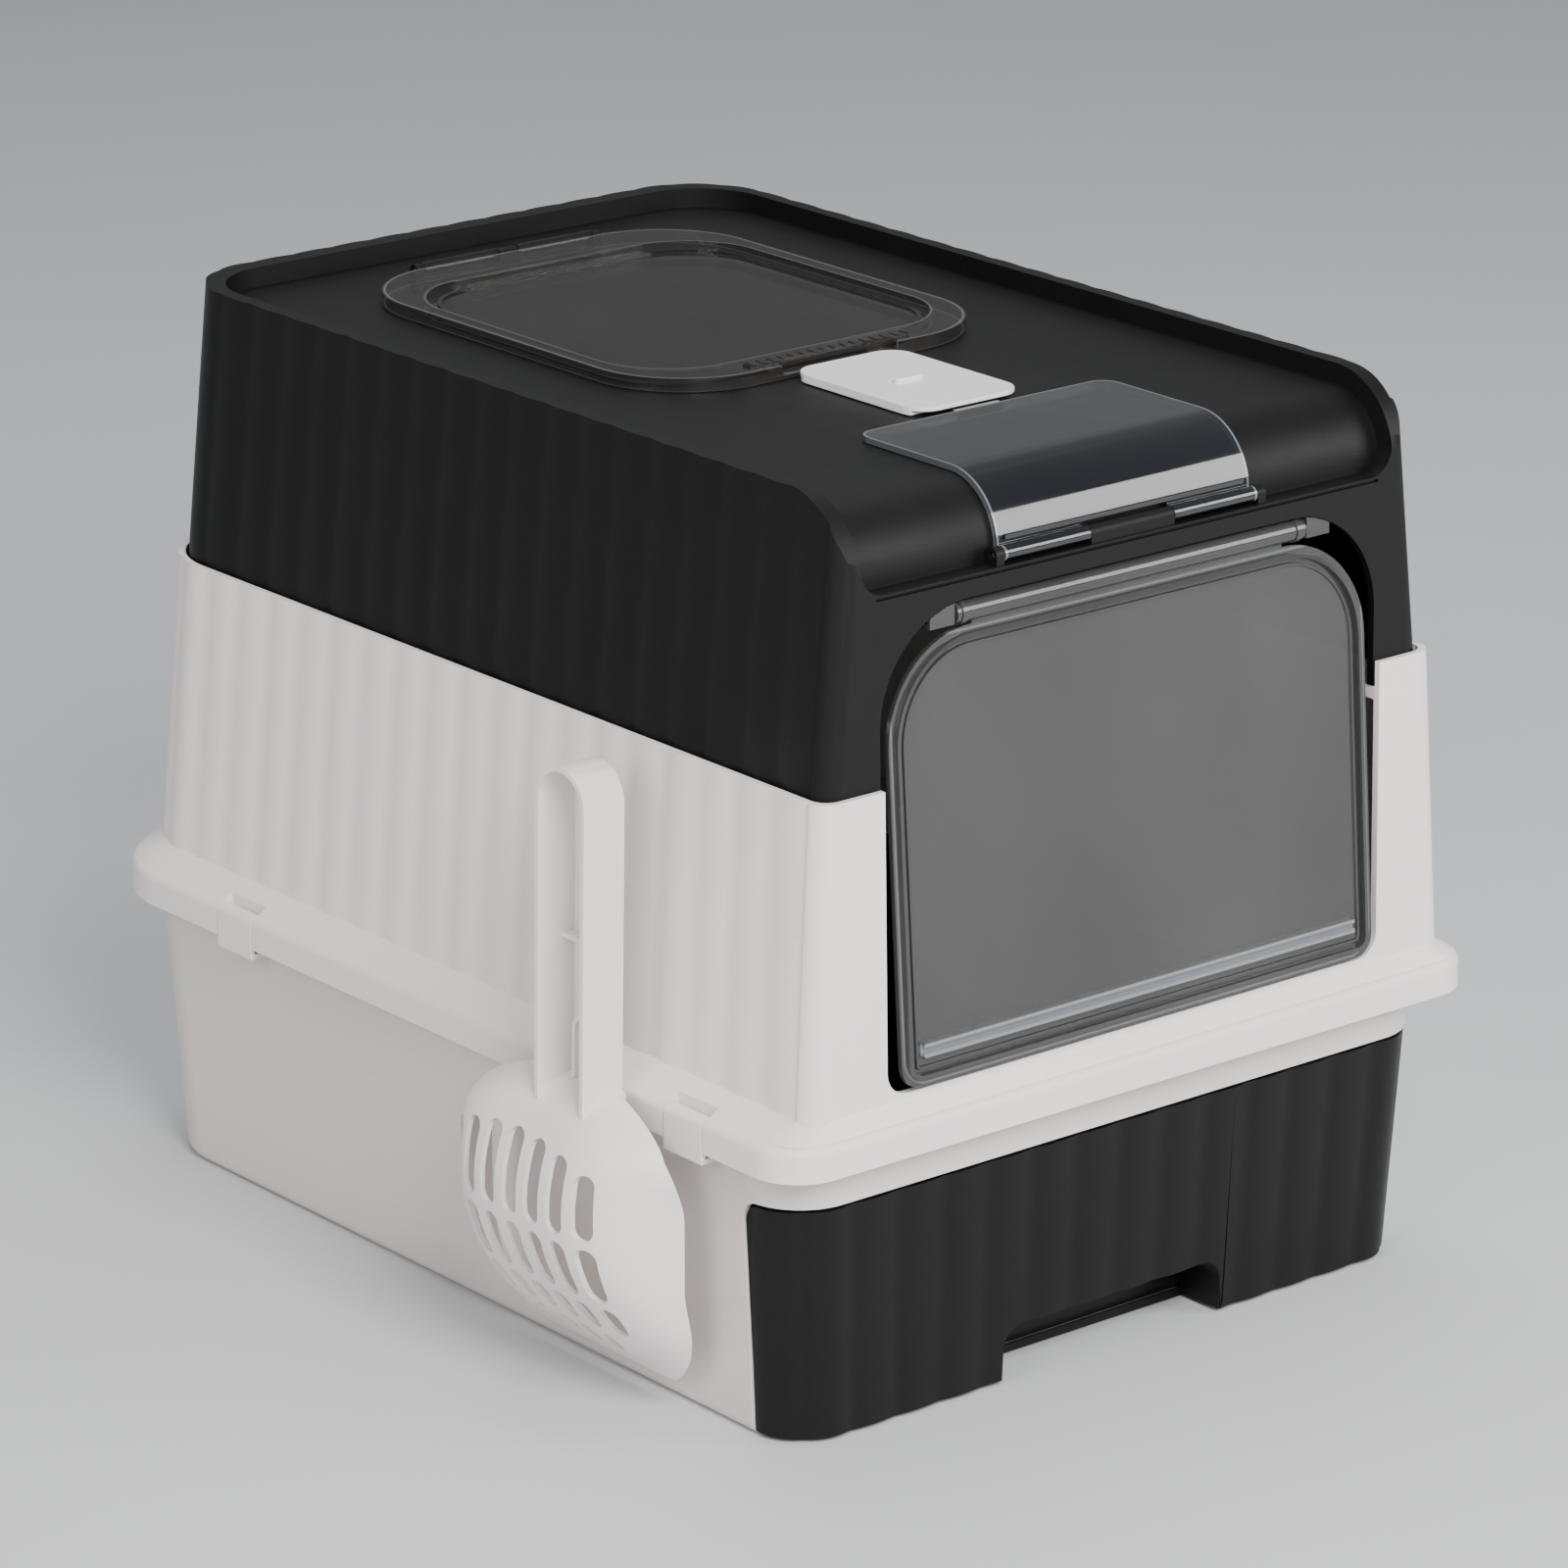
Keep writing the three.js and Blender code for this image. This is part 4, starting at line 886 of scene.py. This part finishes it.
class Finish:
    """A material whose pattern is worked out from object coordinates."""

    def __init__(self, name, **constants):
        self.material = bpy.data.materials.new(name)
        self.material.use_nodes = True
        self.tree = self.material.node_tree
        self.shader = self.tree.nodes["Principled BSDF"]
        for socket, value in constants.items():
            self.shader.inputs[socket.replace("_", " ")].default_value = value
        self.place = self.node("ShaderNodeTexCoord", {}, output="Object")

    def node(self, kind, settings, *terms, output=0, numbered=None, **inputs):
        """Adds a node: its settings first, then its sockets in order, by number or by name."""
        node = self.tree.nodes.new(kind)
        for key, value in settings.items():
            setattr(node, key, value)
        named = {key.replace("_", " "): value for key, value in inputs.items()}
        for key, value in [*enumerate(terms), *(numbered or {}).items(), *named.items()]:
            if isinstance(value, Value):
                self.tree.links.new(value.socket, node.inputs[key])
            else:
                node.inputs[key].default_value = value
        return Value(self, node.outputs[output])

    def noise(self, scale, detail=2.0, stretch=(1, 1, 1)):
        place = self.node("ShaderNodeMapping", {}, self.place, Scale=stretch)
        return self.node("ShaderNodeTexNoise", {}, Vector=place, Scale=scale, Detail=detail)

    def between(self, value, low, high, to_low=0.0, to_high=1.0):
        return self.node("ShaderNodeMapRange", {}, value, low, high, to_low, to_high)

    def along(self, axis):
        return self.node("ShaderNodeSeparateXYZ", {}, self.place, output=axis)

    def edge(self, axis, half, middle, reach, radius, line):
        """1 on a rounded rectangle's outline in X and another axis, 0 from a line's width off."""
        aside = self.along("X")
        aside = aside.maths("ABSOLUTE", aside) - (half - radius)
        beyond = self.along(axis) - middle
        beyond = beyond.maths("ABSOLUTE", beyond) - (reach - radius)
        corner = aside.maths("MAXIMUM", aside, 0) ** 2 + beyond.maths("MAXIMUM", beyond, 0) ** 2
        off = corner.maths("SQRT", corner) - radius
        return self.between(off.maths("ABSOLUTE", off), 0, line, 1, 0)

    def mix(self, share, first, second):
        """Blends two colours; a Mix node has its colour sockets at 6, 7 and output 2."""
        colours = [each if isinstance(each, Value) else (*each, 1) for each in (first, second)]
        return self.node("ShaderNodeMix", {"data_type": "RGBA"}, share,
                         numbered=dict(zip((6, 7), colours)), output=2)

    def feed(self, **links):
        for socket, value in links.items():
            self.tree.links.new(value.socket, self.shader.inputs[socket.replace("_", " ")])
        return self.material

    def bump(self, height, strength, distance):
        return self.node("ShaderNodeBump", {}, Strength=strength, Distance=distance, Height=height,
                         output="Normal")


def white_moulded(name, colour, shade, roughness=0.42):
    """Warm white polypropylene: faint flow marks, a fine grain, patches that darken towards the bottom
    and light scuffs.
    """
    finish = Finish(name, Specular_IOR_Level=0.45)
    flow = finish.between(finish.noise(9, 4, (1, 1, 0.35)), 0.3, 0.7)
    clean = finish.mix(flow, colour, tuple(c * 0.965 for c in colour))
    scuffs = finish.between(finish.noise(60, 6, (1, 1, 6)), 0.66, 0.78, 0, 0.35)
    worn = finish.mix(scuffs, clean, shade)
    # Darker in noise patches over the lowest 3 cm, mixed towards the darker tone.
    low_down = finish.between(finish.along("Z"), 0.03, 0.0, 0, 0.5)
    darker_low_patches = finish.mix(low_down * finish.noise(120, 3), worn, shade)
    grain = finish.noise(1500, 2) * 0.6 + finish.noise(420, 3) * 0.4
    rough = roughness + 0.12 * finish.noise(30, 4)
    return finish.feed(Base_Color=darker_low_patches, Roughness=rough, Normal=finish.bump(grain, 0.14, 0.0004))


def dark_moulded(name, colour, roughness=0.44):
    """Charcoal plastic with a spark-eroded grain and a little dust in fine specks."""
    finish = Finish(name, Specular_IOR_Level=0.22)
    flow = finish.between(finish.noise(14, 5), 0.3, 0.7)
    base = finish.mix(flow, colour, tuple(c * 1.28 for c in colour))
    specks = finish.between(finish.noise(900, 2), 0.62, 0.75, 0, 0.25)
    dusted = finish.mix(specks, base, tuple(c * 2.4 for c in colour))
    grain = finish.noise(1300, 2) * 0.7 + finish.noise(500, 3) * 0.3
    rough = roughness + 0.14 * finish.noise(45, 4)
    return finish.feed(Base_Color=dusted, Roughness=rough, Normal=finish.bump(grain, 0.22, 0.0004))


def clear_moulded(name, colour, opacity, haze, coat, edges):
    """Tinted clear plastic: even tint, faint swirl, wiping marks, and painted highlights: pale lines
    along the edges, made more opaque there.
    """
    finish = Finish(name, Specular_IOR_Level=0.5, Coat_Weight=coat, Coat_Roughness=0.04)
    swirl = finish.between(finish.noise(11, 3, (1, 1, 0.5)), 0.3, 0.7)
    tint = finish.mix(swirl, colour, tuple(c * 1.35 for c in colour))
    wiped = finish.between(finish.noise(26, 5, (0.4, 1, 3.2)), 0.45, 0.75, 0, 0.09)
    cover = opacity + 0.05 * swirl
    for axis, half, middle, reach, radius, line, strength in edges:
        # Each entry is a painted highlight line: the pale colour below is mixed in along a rounded
        # outline, and the cover rises there, in place of light caught by the edges.
        painted_highlight = finish.edge(axis, half, middle, reach, radius, line) * strength
        tint = finish.mix(painted_highlight, tint, (0.3, 0.33, 0.36))
        cover = cover + painted_highlight * (1 - opacity)
    return finish.feed(Base_Color=tint, Roughness=haze + wiped, Alpha=cover,
                       Normal=finish.bump(finish.noise(35, 2), 0.05, 0.0006))


def latch_plastic():
    finish = Finish("latch_plastic", Specular_IOR_Level=0.5)
    tone = finish.mix(finish.noise(60, 4), (0.8, 0.8, 0.8), (0.74, 0.74, 0.745))
    rough = 0.28 + 0.1 * finish.noise(90, 4)
    return finish.feed(Base_Color=tone, Roughness=rough,
                       Normal=finish.bump(finish.noise(1400, 2), 0.08, 0.0003))


def drawn_steel():
    finish = Finish("drawn_steel", Metallic=1.0)
    lines = finish.noise(900, 3, (0.02, 1, 1))
    tone = finish.mix(lines, (0.62, 0.62, 0.63), (0.42, 0.42, 0.43))
    return finish.feed(Base_Color=tone, Roughness=0.22 + 0.2 * lines,
                       Normal=finish.bump(lines, 0.1, 0.0002))


def pale_floor():
    finish = Finish("pale_floor")
    tone = finish.mix(finish.noise(3, 4), (0.62, 0.635, 0.65), (0.58, 0.595, 0.61))
    return finish.feed(Base_Color=tone, Roughness=0.5 + 0.1 * finish.noise(8, 3))


# The whole box -----------------------------------------------------------------------------------

def dress(piece, material):
    piece.data.materials.clear()
    piece.data.materials.append(material)


def stand_for(node, name, piece, finish):
    """Names a finished piece and puts it in the place of a CAD node, on the same moving body."""
    piece.name = name
    dress(piece, finishes[finish])
    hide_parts(node)
    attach(piece, bodies[node])


camera()
studio()
dress(floor(), pale_floor())

finishes = {
    "white_plastic": white_moulded("white_plastic", (0.82, 0.775, 0.76), (0.62, 0.57, 0.545)),
    # The tray's finish is the shell's white plastic painted darker all over: painted shade for the tray's
    # sides, which sit low and get less light than the shell.
    "tray_plastic_painted_shade": white_moulded("tray_plastic_painted_shade", (0.7, 0.65, 0.63), (0.55, 0.5, 0.48)),
    "scoop_plastic": white_moulded("scoop_plastic", (0.84, 0.8, 0.785), (0.68, 0.63, 0.61), 0.36),
    "dark_plastic": dark_moulded("dark_plastic", (0.0034, 0.0034, 0.0036)),
    "drawer_plastic": dark_moulded("drawer_plastic", (0.009, 0.009, 0.01), 0.36),
    # The list after each clear plastic holds painted highlight lines along its edges: axis, half width,
    # middle, reach, corner radius, line width and strength.
    "smoked_plastic": clear_moulded("smoked_plastic", (0.005, 0.006, 0.009), 0.75, 0.05, 0.9, [
        ("Y", 0.0725, -0.2, 0.0535, 0.009, 0.0009, 0.6)]),
    "lid_plastic": clear_moulded("lid_plastic", (0.012, 0.01, 0.008), 0.5, 0.05, 0.15, [
        ("Y", 0.0996, 0.073, 0.1216, 0.0486, 0.0008, 0.5),
        ("Y", 0.0922, 0.069, 0.0987, 0.0407, 0.0008, 0.35)]),
    "door_plastic": clear_moulded("door_plastic", (0.038, 0.038, 0.0375), 0.8, 0.12, 0.3, [
        ("Z", 0.1372, 0.2605, 0.0969, 0.012, 0.0009, 0.35),
        ("Z", 0.127, 0.178, 0.0024, 0.0004, 0.001, 0.8)]),
    "latch_plastic": latch_plastic(),
    "steel": drawn_steel(),
}

modelled = {
    "hood": ("hood_shell", hood_shell, "dark_plastic"),
    # The tray wears the darker copy of the white plastic, whose darkness is painted shade.
    "upper_shell": ("shell_body", shell, "white_plastic"),
    "base_tray": ("tray_body", tray, "tray_plastic_painted_shade"),
    "front_door": ("flap_door", flap_door, "door_plastic"),
    "top_lid": ("roof_lid", roof_lid, "lid_plastic"),
    "front_window": ("window_pane", window_pane, "smoked_plastic"),
    "latch_slider": ("latch_plate", latch_plate, "latch_plastic"),
    "drawer_front": ("drawer_panel", drawer_panel, "dark_plastic"),
    "scoop": ("litter_scoop", litter_scoop, "scoop_plastic"),
}
bodies = {node: body for body, nodes in frame["record"]["behaviour"]["bodies"].items() for node in nodes}
slots = {part["node"]: part["material_slot"] for part in frame["record"]["subparts"]}
for node, slot in slots.items():
    if node in modelled:
        name, model, finish = modelled[node]
        stand_for(node, name, model(), finish)
    else:
        stand_for(node, node + "_finished", soften(cad_copy(node), 0.0005, 2), slot)
